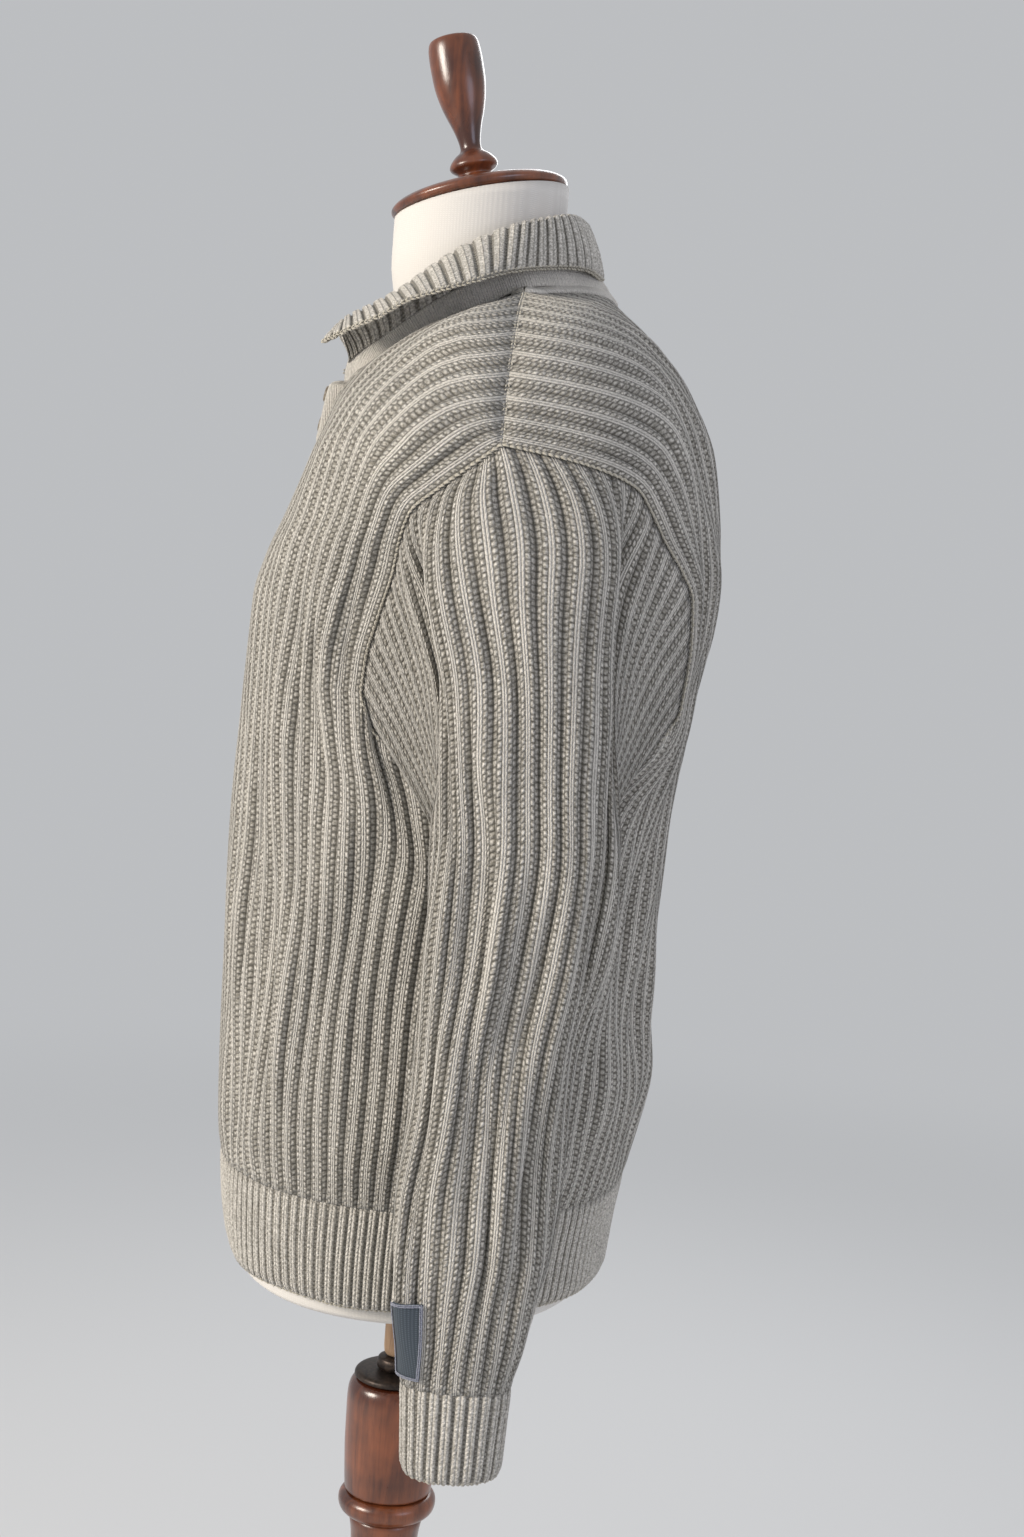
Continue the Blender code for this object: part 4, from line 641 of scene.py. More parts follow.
# Front and back panels. Creases are face, flat place, lowest and highest point, lean, width and rise.
bodySettings = {
    "columnsPerRib": 12,
    "innerStep": 3,
    "rowsBelow": 56,
    "rowsAbove": 40,
    "crown": 0.20,
    "floor": -0.12,
    "wander": 0.22,          # how far ribs stray sideways
    "ripple": 0.16,          # uneven rise and fall between the main creases
    "bunch": 0.35,           # how unevenly the gaps between ribs close
    "folds": (               # sharper ones over the main creases, same columns as those
        (-1, 12.9, 88.0, 110.0, 0.05, 0.6, -0.45),
        (-1, 16.3, 83.0, 103.0, -0.07, 0.6, -0.45),
        (-1, 9.2, 92.0, 112.0, 0.03, 0.6, -0.30),
        (-1, 19.6, 103.0, 121.0, -0.12, 0.6, -0.50),
        (-1, 22.3, 108.0, 122.0, -0.06, 0.6, -0.40),
        (-1, -12.4, 86.0, 108.0, -0.04, 0.6, -0.45),
        (-1, -18.8, 88.0, 118.0, 0.07, 0.6, -0.45),
        (-1, 3.6, 81.0, 95.0, 0.02, 0.6, -0.20),
        (1, 17.8, 90.0, 118.0, 0.08, 0.7, -0.45),
        (1, 12.2, 84.0, 100.0, 0.05, 0.7, -0.35),
        (1, -17.4, 88.0, 116.0, -0.08, 0.7, -0.45),
        (1, -6.5, 82.0, 97.0, -0.03, 0.7, -0.30),
        (1, 2.1, 84.0, 99.0, 0.03, 0.7, -0.25),
    ),
    "creases": (
        (-1, 21.0, 107.0, 124.0, -0.10, 1.5, 0.75),
        (-1, 17.8, 104.0, 122.0, -0.16, 1.2, -0.55),
        (-1, 23.0, 97.0, 112.0, 0.14, 1.4, 0.45),
        (-1, 14.5, 84.0, 108.0, 0.06, 1.5, -0.45),
        (-1, 11.5, 86.0, 104.0, -0.05, 1.3, 0.35),
        (-1, 18.0, 82.0, 101.0, -0.08, 1.4, 0.45),
        (-1, -13.5, 85.0, 109.0, 0.05, 1.5, -0.45),
        (-1, -17.0, 83.0, 103.0, -0.06, 1.3, 0.45),
        (-1, -20.5, 106.0, 124.0, 0.11, 1.5, 0.70),
        (-1, -5.5, 80.0, 94.0, 0.04, 1.4, 0.20),
        (1, 8.5, 80.0, 99.0, 0.08, 1.7, 0.40),
        (1, 15.5, 84.0, 112.0, 0.10, 1.7, -0.60),
        (1, 20.0, 84.0, 110.0, 0.06, 1.6, 0.60),
        (1, -9.0, 81.0, 101.0, -0.07, 1.7, 0.40),
        (1, -15.0, 85.0, 111.0, -0.10, 1.7, -0.60),
        (1, -20.5, 83.0, 108.0, -0.05, 1.6, 0.55),
    ),
}


def panelHeight(flat, row, face):     # row is 0 to 1 below the underarm corner and 1 to 2 above it
    reach = np.abs(flat)
    under = underPoint(np.maximum(reach, armEdge), face)[..., 2]
    corner = np.where(reach > armEdge + 1e-6, under, cornerHeight)
    top = topPoint(np.minimum(reach, armEdge), face)[..., 2]
    lower = seamHeight + (corner - seamHeight) * np.minimum(row, 1.0)
    rise = np.maximum(row - 1.0, 0.0)
    edge = readPoint(caps[face], "run", 1 - rise)[..., 2]
    edgeRise = (edge - cornerHeight) / (shoulderHeight - cornerHeight)
    rise = rise + (edgeRise - rise) * ease(reach / armEdge)
    upper = corner + (top - corner) * rise
    return np.where(row <= 1.0, lower, upper)


def panelFree(flat, height, face):     # 1 well inside a panel and 0 at its seams
    reach = np.abs(flat)
    seam = np.where(reach > armEdge, underPoint(np.maximum(reach, armEdge), face)[..., 2],
                    topPoint(np.minimum(reach, armEdge), face)[..., 2])
    besideArm = np.where(height > cornerHeight - 1, ease((armEdge - reach) / 2.0), 1.0)
    return ease((seam - height) / 3.0) * besideArm


def bodyCrease(flat, height, face):
    rise = 0.0 * height
    rows = [row[1:] for row in bodySettings["creases"] + bodySettings["folds"] if row[0] == face]
    for middle, low, high, lean, width, amount in rows:
        centre = middle + lean * (height - (low + high) / 2)
        end = (high - low) / 2.4
        window = ease((height - low) / end) * ease((high - height) / end)
        rise = rise + amount * window * np.exp(-((flat - centre) / width) ** 2)
    ripple = softWaves(flat, height, 11 + face, 5.5, 21.0) * bodySettings["ripple"]
    lower = ease((height - seamHeight) / 4.0)
    calm = 0.35 + 0.65 * ease((np.abs(flat) - 5.0) / 8.0)
    return (rise + ripple * lower * calm) * panelFree(flat, height, face)


def bodyPanel(name, face):
    perRib = bodySettings["columnsPerRib"]
    half = round(flatEdge / garment["rib"] * perRib)
    columns = 2 * half + 1
    below, above = bodySettings["rowsBelow"], bodySettings["rowsAbove"]
    shares = np.concatenate((np.linspace(0, 1, below + 1), np.linspace(1, 2, above + 1)[1:]))
    flat, gridRow = np.meshgrid(np.linspace(-flatEdge, flatEdge, columns), shares)
    reach = np.abs(flat)
    height = panelHeight(flat, gridRow, face)
    sway = softWaves(flat, height, 23 + face, 13.0, 24.0) * bodySettings["wander"]
    sway = sway * ease((height - seamHeight) / 5.0) * ease((flatEdge - reach) / 3.0)
    sway = sway * panelFree(flat, height, face)
    points = bodyPoint(flat + sway, height, face)
    normals = smoothed(gridNormals(points, -face), 3)
    points = points + unit(normals) * bodyCrease(flat, height, face)[..., None]
    normals = unit(smoothed(gridNormals(points, -face), 4))
    normals[0, :, 2] = 0.0
    normals = unit(normals)
    # ribs lie flatter at the hem, armhole and top seams
    fade = 0.4 + 0.6 * ease((height - seamHeight) / 1.2)
    seamFade = np.where(height > cornerHeight - 2, ease((armEdge - reach) / 0.8), 1.0)
    fade = fade * np.where((reach > armEdge) & (height <= cornerHeight), 1.0, seamFade)
    top = topPoint(np.minimum(reach, armEdge), face)[..., 2]
    fade = fade * (0.25 + 0.75 * ease((top - height) / 1.2))
    closing = 1 + bodySettings["bunch"] * softWaves(flat, height, 29 + face, 3.4, 19.0)
    relief = ribRelief(flat / garment["rib"], bodySettings["crown"], bodySettings["floor"] * closing)
    outer = points + normals * (relief * fade)[..., None]
    inner = points - normals * garment["wall"]
    step = bodySettings["innerStep"]
    cells = (columns - 1) // step
    armColumn = round(armEdge / garment["rib"] * perRib)
    mask = np.ones((len(shares) - 1, cells), dtype=bool)
    mask[below:, np.abs(np.arange(cells) * step + step / 2 - half) > armColumn] = False
    uv = np.stack([flat / garment["rib"], runLengths(points) / garment["rowPitch"]], axis=-1)
    piece = clothPiece(name + "_knit", outer, inner, uv, step, wideKnit, (name,), mask, flip=face > 0)
    return piece, points, normals


bodyFront, frontPoints, frontNormals = bodyPanel("body_front", -1)
bodyBack, backPoints, backNormals = bodyPanel("body_back", 1)
print("panels", len(bodyFront.data.polygons), len(bodyBack.data.polygons))

# Sleeves: each one wall from the armhole seam to the cuff, ribs at their knitted width all the way.
sleeveSettings = {
    "columnsPerRib": 12,
    "innerStep": 3,
    "rows": 112,
    "crown": 0.20,
    "floor": -0.13,
    "wander": 0.11,
    "ripple": 0.13,
    "bunch": 0.40,
    "power": 2.3,            # squareness of the cross section
    "bodyPower": 2.35,       # and of the body beside it
    "seamRoom": 0.6,         # degrees left open at the underarm seam
    "room": 0.7,             # air between sleeve and body
    "tube": (
        (63.6, 23.7, 4.75, 2.1, 3.15, 6.3),
        (69.5, 23.7, 4.75, 2.3, 3.5, 6.3),
        (72.5, 23.8, 4.9, 2.7, 3.9, 6.5),
        (75.0, 23.9, 5.0, 2.8, 4.3, 6.7),
        (78.7, 24.0, 5.2, 2.9, 4.8, 7.0),
        (81.5, 24.0, 5.2, 2.9, 4.9, 7.2),
        (87.0, 24.1, 5.4, 2.9, 4.7, 7.6),
        (91.3, 24.2, 5.6, 2.9, 4.8, 7.9),
        (97.5, 24.3, 6.3, 3.0, 5.4, 8.4),
        (103.6, 24.3, 6.7, 3.0, 5.7, 8.4),
        (108.0, 24.2, 6.4, 3.0, 5.6, 8.0),
        (113.9, 23.9, 6.0, 3.0, 5.6, 7.4),
        (120.0, 23.4, 5.2, 3.0, 6.1, 6.6),
        (126.0, 22.7, 4.7, 2.9, 6.7, 6.2),
    ),
    "sweep": ((0.0, 7.0), (6.0, 8.0), (10.0, 14.0), (16.0, 17.0), (22.0, 18.0), (27.0, 16.0)),
    "widths": ((0.0, 26.875), (8.0, 24.6), (17.0, 21.6), (29.0, 18.2), (42.0, 15.2), (59.0, 12.5)),
    # flat place, start, end, lean, width, push outward and back
    "tucks": (
        (-8.1, 0.0, 21.0, 0.02, 1.5, -0.8, 1.1),
        (7.9, 0.0, 23.0, 0.00, 1.6, -0.8, -1.0),
        (-3.4, 14.0, 40.0, 0.02, 0.9, -0.45, 0.0),
        (0.6, 22.0, 47.0, -0.03, 0.9, -0.50, 0.0),
        (4.2, 12.0, 36.0, 0.03, 0.9, -0.55, 0.0),
        (-1.4, 33.0, 57.0, 0.05, 0.8, -0.45, 0.0),
        (3.6, 38.0, 57.0, -0.04, 0.8, -0.45, 0.0),
        (8.4, 24.0, 50.0, -0.03, 1.4, 0.1, 0.55),
        (-5.2, 47.0, 61.0, 0.0, 1.6, 0.8, -0.15),
    ),
    # sharper folds in the showing half: flat place, start, end, lean, width, rise
    "folds": (
        (-2.6, 17.0, 37.0, 0.05, 0.5, -0.42),
        (1.9, 24.0, 49.0, -0.04, 0.5, -0.45),
        (5.2, 14.0, 33.0, 0.02, 0.5, -0.32),
        (-5.7, 9.0, 27.0, 0.06, 0.5, -0.36),
        (-4.4, 33.0, 52.0, 0.04, 0.5, -0.40),
        (0.1, 38.0, 58.0, 0.05, 0.5, -0.42),
        (3.1, 41.0, 57.0, -0.05, 0.5, -0.36),
        (-1.1, 26.0, 45.0, 0.03, 0.6, 0.30),
        (3.7, 19.0, 40.0, -0.02, 0.6, 0.28),
    ),
}
tubeSheet = table(("height", "x", "y", "halfThick", "halfDeep", "edgeFlat"), sleeveSettings["tube"])
sweepSheet = table(("flat", "reach"), sleeveSettings["sweep"])
widthSheet = table(("along", "half"), sleeveSettings["widths"])


def sleeveEnd(flat):
    longest, shortest = garment["sleeveLength"], garment["underLength"]
    return longest - (longest - shortest) * ease((np.abs(flat) - 8.0) / (capHalf - 8.0))


def oval(angle, thick, deep):
    power = sleeveSettings["power"]
    away = thick * np.cos(angle)
    along = deep * np.sin(angle)
    reach = ((np.abs(away) / thick) ** power + (np.abs(along) / deep) ** power) ** (-1 / power)
    return reach * away, reach * along


def tubeAt(height, *names):
    return [readColumn(tubeSheet, "height", key, height) for key in names]


def tubePoint(flat, height):
    edge, thick, deep, x, y = tubeAt(height, "edgeFlat", "halfThick", "halfDeep", "x", "y")
    reach = np.abs(flat)
    under = 90 + (90 - sleeveSettings["seamRoom"]) * (reach - edge) / (capHalf - edge)
    angle = np.radians(np.where(reach < edge, 90 * reach / edge, under))
    away, along = oval(angle, thick, deep)
    return x + away, y + np.sign(flat) * along


def clearOfBody(point, along):     # keeps the sleeve outside the body below the armhole
    y, z = point[..., 1], point[..., 2]
    wide, side, deepFront = ringParts(ringSheet, z, -1)
    deep = np.where(y < side, deepFront, ringParts(ringSheet, z, 1)[2])
    power = sleeveSettings["bodyPower"]
    share = np.clip(np.abs(y - side) / deep, 0.0, 0.999)
    bodyX = wide * (1 - share ** power) ** (1 / power)
    line = np.where(y < underarms[-1]["y"][-1], readColumn(underarms[-1], "y", "height", y),
                    readColumn(underarms[1], "y", "height", y))
    below = ease((line - z + 0.5) / 5.0)
    room = sleeveSettings["room"] * ease(along / 3.5)
    point[..., 0] += np.maximum(bodyX + room - point[..., 0], 0.0) * below
    return point


def sleeveFold(flat, along, start, middle, first, last, lean, width):     # a fold's share of its depth here
    window = ease((along - first) / start) * ease((last - along) / (last - first) * 2.0)
    return window * np.exp(-((flat - middle - lean * (along - first)) / width) ** 2)


def sleevePoint(flat, share):     # outer surface of the left sleeve; share runs from the armhole to the cuff
    place = np.abs(flat) / capHalf * capPlaces
    start = np.where((flat < 0)[..., None], capPlace(place, -1), capPlace(place, 1))
    along = share * sleeveEnd(flat)
    height = start[..., 2] * (1 - share) + garment["cuffTop"] * share
    x, y = tubePoint(flat, height)
    sweep = readColumn(sweepSheet, "flat", "reach", np.abs(flat))
    blend = 1 - (1 - np.clip(along / sweep, 0.0, 1.0)) ** 2
    x = start[..., 0] * (1 - blend) + x * blend
    y = start[..., 1] * (1 - blend) + y * blend
    point = np.stack([x, y, height], -1)
    for *fold, pushX, pushY in sleeveSettings["tucks"]:
        amount = sleeveFold(flat, along, 6.0, *fold)
        point[..., 0] += pushX * amount
        point[..., 1] += pushY * amount
    return clearOfBody(point, along)


def sleevePiece(name, side, seed):
    perRib, step = sleeveSettings["columnsPerRib"], sleeveSettings["innerStep"]
    edgeFlat = np.linspace(-capHalf, capHalf, 2 * round(capHalf / garment["sleeveRib"] * perRib) + 1)
    flat, share = np.meshgrid(edgeFlat, np.linspace(0, 1, sleeveSettings["rows"] + 1))
    reach = np.abs(flat)
    along = share * sleeveEnd(flat)
    ends = ease(along / 3.0) * ease((1 - share) / 0.06)
    sway = softWaves(flat, along, seed, 5.0, 27.0) * sleeveSettings["wander"] * ends
    sway = sway * ease((capHalf - reach) / 3.0)
    points = sleevePoint(np.clip(flat + sway, -capHalf, capHalf), share)
    normals = unit(smoothed(gridNormals(points, -1.0), 4))
    ripple = softWaves(flat, along, seed + 1, 4.5, 15.0) * sleeveSettings["ripple"]
    for *fold, amount in sleeveSettings["folds"]:
        ripple = ripple + amount * sleeveFold(flat, along, 5.0, *fold)
    outside = 1 - 0.7 * ease((reach - 10.0) / 4.0)
    points = points + normals * (ripple * ends * outside)[..., None]
    normals = unit(smoothed(gridNormals(points, -1.0), 4))
    # the top edge faces away from the armhole's middle, and never back into the body
    place = np.abs(edgeFlat) / capHalf * capPlaces
    across = np.where((edgeFlat < 0)[:, None], seamSide(place, -1), seamSide(place, 1))
    start = unit(unit(points[0] - armholeHeart) + normals[0])
    wrong = np.maximum(-np.sum(start * -across, axis=-1, keepdims=True), 0.0)
    normals[0] = unit(start + wrong * -across)
    normals[-1, :, 2] = 0.0
    normals = unit(normals)
    # ribs keep their knitted width, so the underarm seam takes some in as the sleeve narrows
    edge = readColumn(tubeSheet, "height", "edgeFlat", points[..., 2])
    beyond = (reach - edge) / (capHalf - edge)
    halfHere = readColumn(widthSheet, "along", "half", along)
    trueFlat = np.where(reach > edge, edge + (halfHere - edge) * beyond, reach)
    ribs = trueFlat * np.sign(flat) / garment["sleeveRib"]
    fade = (0.25 + 0.75 * ease(along / 1.3)) * (0.45 + 0.55 * ease((1 - share) / 0.03))
    fade *= 1 - 0.5 * ease((reach - 13.0) / 5.0)
    closing = 1 + sleeveSettings["bunch"] * softWaves(flat, along, seed + 2, 3.0, 16.0)
    relief = ribRelief(ribs, sleeveSettings["crown"], sleeveSettings["floor"] * closing) * fade
    hidden = ease((reach - 11.0) / 4.0) * (1 - ease((share - 0.15) / 0.4))
    mirror = np.array((float(side), 1.0, 1.0))
    outer = (points + normals * relief[..., None]) * mirror
    inner = (points - normals * (garment["wall"] * (1 - 0.55 * hidden))[..., None]) * mirror
    uv = np.stack([ribs, runLengths(points) / garment["rowPitch"]], axis=-1)
    piece = clothPiece(name + "_knit", outer, inner, uv, step, wideKnit, (name,), flip=side > 0)
    return piece, points * mirror, normals * mirror


sleeveLeft, leftPoints, leftNormals = sleevePiece("sleeve_left", 1, 41)
sleeveRight = sleevePiece("sleeve_right", -1, 57)[0]
print("sleeves", len(sleeveLeft.data.polygons))


# Bands: narrow one-and-one rib at hem and cuffs.
bandSettings = {
    "hemRibs": 73,
    "cuffRibs": 26,
    "columnsPerRib": 8,
    "innerStep": 4,
    "rows": 12,
    "crown": 0.15,
    "floor": -0.09,
    "rowPitch": 0.30,
    "edgeRoll": 0.12,        # how far the bottom edge turns in
    "ripple": 0.10,
}


def bandPiece(name, points, normals, ripple, turnIn, phase, side=1, **shape):     # what hem and cuffs share
    height = points[..., 2]
    rising = (height - height[0]) / (height[-1] - height[0])
    roll = bandSettings["edgeRoll"] * (1 - ease(rising / turnIn))
    points = points + normals * (ripple * (1 - rising) - roll)[..., None]
    fade = (0.35 + 0.65 * ease((1 - rising) / 0.12)) * (0.55 + 0.45 * ease(rising / 0.06))
    relief = bandRelief(phase, bandSettings["crown"], bandSettings["floor"]) * fade
    mirror = np.array((float(side), 1.0, 1.0))
    outer = (points + normals * relief[..., None]) * mirror
    inner = (points - normals * garment["bandWall"]) * mirror
    uv = np.stack([phase, height / bandSettings["rowPitch"]], axis=-1)
    step = bandSettings["innerStep"]
    piece = clothPiece(name + "_knit", outer, inner, uv, step, narrowKnit, (name,), **shape)
    return piece, outer, normals * mirror


def hemBand(name, face):
    columns = bandSettings["hemRibs"] * bandSettings["columnsPerRib"] + 1
    flat, height = np.meshgrid(np.linspace(-flatEdge, flatEdge, columns),
                               np.linspace(garment["hemBottom"], seamHeight, bandSettings["rows"] + 1))
    points = ringPoint(ringSheet, height, bodyTurn(np.abs(flat), np.maximum(height, seamHeight), face), face)
    points[..., 0] *= np.sign(flat) + (flat == 0)
    normals = gridNormals(points, -face)
    normals[..., 2] = 0.0
    normals = unit(smoothed(unit(normals), 2))
    ripple = softWaves(flat, height, 71 + face, 11.0, 30.0) * bandSettings["ripple"]
    phase = np.linspace(0, bandSettings["hemRibs"], columns)[None, :] + 0.5 + 0 * height
    return bandPiece(name, points, normals, ripple, 0.10, phase, flip=face > 0)


def cuffBand(name, side):
    ribs, rows = bandSettings["cuffRibs"], bandSettings["rows"]
    turn, height = np.meshgrid(np.linspace(0, 2 * np.pi, ribs * bandSettings["columnsPerRib"] + 1),
                               np.linspace(garment["cuffBottom"], garment["cuffTop"], rows + 1))
    thick, deep, x, y = tubeAt(height, "halfThick", "halfDeep", "x", "y")
    away, along = oval(turn, thick, deep)
    points = np.stack([x + away, y + along, height], axis=-1)
    normals = unit(np.stack([away / thick ** 2, along / deep ** 2, 0 * away], axis=-1))
    ripple = bandSettings["ripple"] * np.sin(3 * turn + 1.1 + side)
    phase = turn / (2 * np.pi) * ribs + 0.5
    return bandPiece(name, points, normals, ripple, 0.12, phase, side, loop=True, flip=side < 0)


bands = {"hem_front": hemBand("hem_front", -1), "hem_back": hemBand("hem_back", 1),
         "cuff_left": cuffBand("cuff_left", 1), "cuff_right": cuffBand("cuff_right", -1)}
print("bands", [len(band[0].data.polygons) for band in bands.values()])


# Neck band and collar: rows run from the left front end to the centre back, and mirror on the right.
collarSettings = {
    "ribs": 54,
    "columnsPerRib": 10,
    "rowShares": 30,
    "crown": 0.15,
    "floor": -0.10,
    "bandColumns": 240,
    "bandRows": 12,
    "bandFlare": 0.34,       # how far the neck band's lower edge stands out
    "bandDrop": 0.16,
    "lines": ("seam", "top", "fold", "edge"),
    "rows": (
        (2.1, -8.6, 134.9, 2.7, -8.7, 136.1, 5.9, -9.2, 137.9, 9.0, -10.0, 136.9),
        (3.3, -7.1, 135.1, 3.8, -7.9, 136.6, 5.9, -8.6, 138.6, 10.7, -8.3, 137.4),
        (4.6, -5.4, 136.1, 5.0, -6.6, 137.4, 6.4, -7.0, 139.5, 11.7, -6.0, 138.2),
        (5.9, -3.7, 137.2, 6.3, -4.9, 138.5, 7.1, -5.1, 140.6, 12.0, -4.0, 139.4),
        (7.0, -1.5, 138.8, 7.2, -2.4, 140.3, 7.8, -2.9, 142.4, 12.1, -1.7, 140.3),
        (7.6, 0.9, 140.1, 7.7, 0.2, 141.7, 8.2, -0.6, 144.0, 11.9, 0.4, 141.1),
        (7.6, 3.7, 141.6, 7.6, 3.0, 143.1, 7.9, 2.5, 145.6, 10.8, 2.5, 142.1),
        (6.0, 6.0, 142.2, 6.2, 5.4, 143.7, 6.3, 4.8, 146.6, 8.3, 5.2, 143.0),
        (3.5, 7.9, 142.6, 3.6, 7.3, 144.1, 3.5, 6.8, 147.4, 4.6, 7.9, 143.6),
        (0.0, 9.6, 143.0, 0.0, 8.7, 144.4, 0.0, 8.0, 147.7, 0.0, 9.6, 143.8),
    ),
}
collarNames = [line + axis for line in collarSettings["lines"] for axis in "XYZ"]
collarSheet = table(collarNames, collarSettings["rows"])
collarSheet["row"] = np.arange(len(collarSettings["rows"]), dtype=float)


def collarLine(which, share):     # share is -1 at the left front end, 0 at the back and 1 at the right end
    place = (1 - np.abs(share)) * (len(collarSettings["rows"]) - 1)
    points = np.stack([readColumn(collarSheet, "row", which + axis, place) for axis in "XYZ"], axis=-1)
    points[..., 0] *= -np.sign(share)
    return points


def evenShares(which, count):
    fine = np.linspace(-1, 1, 1601)
    line = collarLine(which, fine)
    run = lineRun(line)
    return np.interp(np.linspace(0, run[-1], count), run, fine)


def bandInward(share):
    line = collarLine("top", share)
    along = np.gradient(line, axis=0)
    inward = np.stack([along[:, 1], -along[:, 0], 0 * along[:, 0]], axis=-1)
    facing = np.sum(inward * (np.array([0.0, 0.5, 0.0]) - line) * (1, 1, 0), axis=-1)
    return unit(inward * np.sign(facing)[:, None])


def neckBand():
    share = evenShares("seam", collarSettings["bandColumns"] + 1)
    seam = collarLine("seam", share)
    rise = np.linspace(0, 1, collarSettings["bandRows"] + 1)[:, None, None]
    inward = bandInward(share)
    points = seam[None] * (1 - rise) + collarLine("top", share)[None] * rise
    # its lower edge is sewn over the panels' edge
    points = points - inward[None] * (collarSettings["bandFlare"] * (1 - rise) ** 2)
    points[0] -= (0.0, 0.0, collarSettings["bandDrop"])
    outer = points - inward[None] * (0.14 * np.sin(np.pi * rise))
    inner = points + inward[None] * garment["bandWall"]
    wide, tall = garment["plainStitch"]
    uv = np.stack([lineRun(seam)[None, :] / wide + 0 * points[..., 2], runLengths(points) / tall], axis=-1)
    return clothPiece("neck_band_knit", outer, inner, uv, 4, plainKnit, ("neck_band",))


def collarGrid(share, stopShares):     # showing side, from the band up over the fold and down to its edge
    top, fold, edge = (collarLine(which, share) for which in ("top", "fold", "edge"))
    inward = bandInward(share)
    out = unit((edge - fold) * (1, 1, 0))
    fall = np.linalg.norm(edge - fold, axis=-1, keepdims=True)
    up = np.array([0.0, 0.0, 1.0])
    base = top + inward * garment["bandWall"] + up * 0.03
    bend = fold - out * 0.55 - up * 0.45
    lip = fold + (edge - fold) * 0.16 + up * 0.30
    belly = fold + (edge - fold) * 0.58 + unit(out + up * 0.8) * 0.055 * fall
    stops = np.stack([base, base * 0.5 + bend * 0.5 + inward * 0.1, bend, fold, lip, belly, edge])
    points = np.zeros((len(stopShares), len(share), 3))
    for column in range(len(share)):
        for axis in range(3):
            sheet = {"stop": np.arange(7.0), "value": stops[:, column, axis]}
            points[:, column, axis] = readColumn(sheet, "stop", "value", stopShares)
    return points


def collarPiece():
    columns = collarSettings["ribs"] * collarSettings["columnsPerRib"] + 1
    share = evenShares("edge", columns)
    stops = np.linspace(0, 6, collarSettings["rowShares"] + 1)
    points = collarGrid(share, stops)
    phase = np.linspace(0, collarSettings["ribs"], columns)[None, :] + 0.5 + 0 * points[..., 0]
    normals = gridNormals(points, 1.0)
    if normals[-2, columns // 2, 1] < 0:
        normals = -normals
    normals[0] = bandInward(share)
    normals = unit(smoothed(unit(normals), 2))
    runs = runLengths(points)
    toEdge = runs[-1][None, :] - runs
    wave = softWaves(phase * 0.9, runs, 91, 9.0, 14.0) * 0.10 * ease(runs / 2.0)
    points = points + normals * wave[..., None]
    rounded = np.sqrt(np.clip(toEdge / 0.35, 0.05, 1.0))
    crown, floor = collarSettings["crown"], collarSettings["floor"]
    showing = bandRelief(phase, crown, floor) * (0.5 + 0.5 * ease(runs / 0.8)) * rounded
    under = bandRelief(phase + 0.5, crown * 0.6, floor * 0.5) * ease(runs / 0.8)
    outer = points + normals * showing[..., None]
    inner = points - normals * (garment["bandWall"] * (0.55 + 0.45 * rounded) + under)[..., None]
    uv = np.stack([phase, runs / bandSettings["rowPitch"]], axis=-1)
    piece = clothPiece("collar_knit", outer, inner, uv, 1, narrowKnit, ("collar",), shift=0.5)
    return piece, outer, normals


facingSettings = {"depth": 1.5, "rows": 10, "frontStart": 1.8}


def neckFacing(name, face, side):     # light band knitted onto the panels just below the collar
    depth, rows = facingSettings["depth"], facingSettings["rows"]
    panelPoints, panelNormals = (frontPoints, frontNormals) if face < 0 else (backPoints, backNormals)
    last, middle = panelPoints.shape[0] - 1, (panelPoints.shape[1] - 1) / 2
    end = neckEdge + depth - 0.02
    start, columns = (facingSettings["frontStart"], 97) if face < 0 else (-end, 193)
    flat = np.linspace(start, end, columns) * side
    deep = np.sqrt(depth ** 2 - np.maximum(np.abs(flat) - neckEdge, 0.0) ** 2)
    columnPlace = middle + flat * bodySettings["columnsPerRib"] / garment["rib"]
    fromTop = np.arange(last, -1.0, -1.0)[:, None]
    runs = runLengths(readGrid(panelPoints, fromTop + 0 * columnPlace, 0 * fromTop + columnPlace))
    outer = np.zeros((rows + 1, columns, 3))
    inner = np.zeros((rows + 1, columns, 3))
    for column in range(columns):
        wanted = np.linspace(0.0, deep[column], rows + 1)
        place = last - np.interp(wanted, runs[:, column], np.arange(len(runs)))
        spot = columnPlace[column] + 0 * place
        base, out = readGrid(panelPoints, place, spot), unit(readGrid(panelNormals, place, spot))
        rim = np.sqrt(np.clip((deep[column] - wanted) / 0.3, 0.05, 1.0))
        inner[:, column] = base + out * 0.02
        outer[:, column] = base + out * (0.05 + 0.23 * rim)[:, None]
    share = np.linspace(0.0, 1.0, rows + 1)[:, None]
    wide, tall = garment["plainStitch"]
    uv = np.stack([flat[None, :] / wide + 0 * share, share * deep[None, :] / tall], axis=-1)
    return clothPiece(name, outer, inner, uv, 4, plainKnit, (), flip=(face * side) < 0)


neckBandPiece = neckBand()
collarKnit, collarOuter, collarNormals = collarPiece()
print("collar", len(collarKnit.data.polygons))


# Placket: a plain knitted strip over the neck opening, with two buttons that stay as they are.
placketSettings = {
    "half": 1.5,
    "low": 130.2,
    "high": 134.9,
    "wall": 0.28,
    "lift": 0.33,
    "lean": 0.70,
    "buttonHeights": (("button_upper", 134.0), ("button_lower", 131.8)),
    "buttonRadius": 0.60,
    "buttonThick": 0.25,
    "buttonSunk": 0.15,
    "holePlace": 0.105,
    "holeWide": 0.062,
}


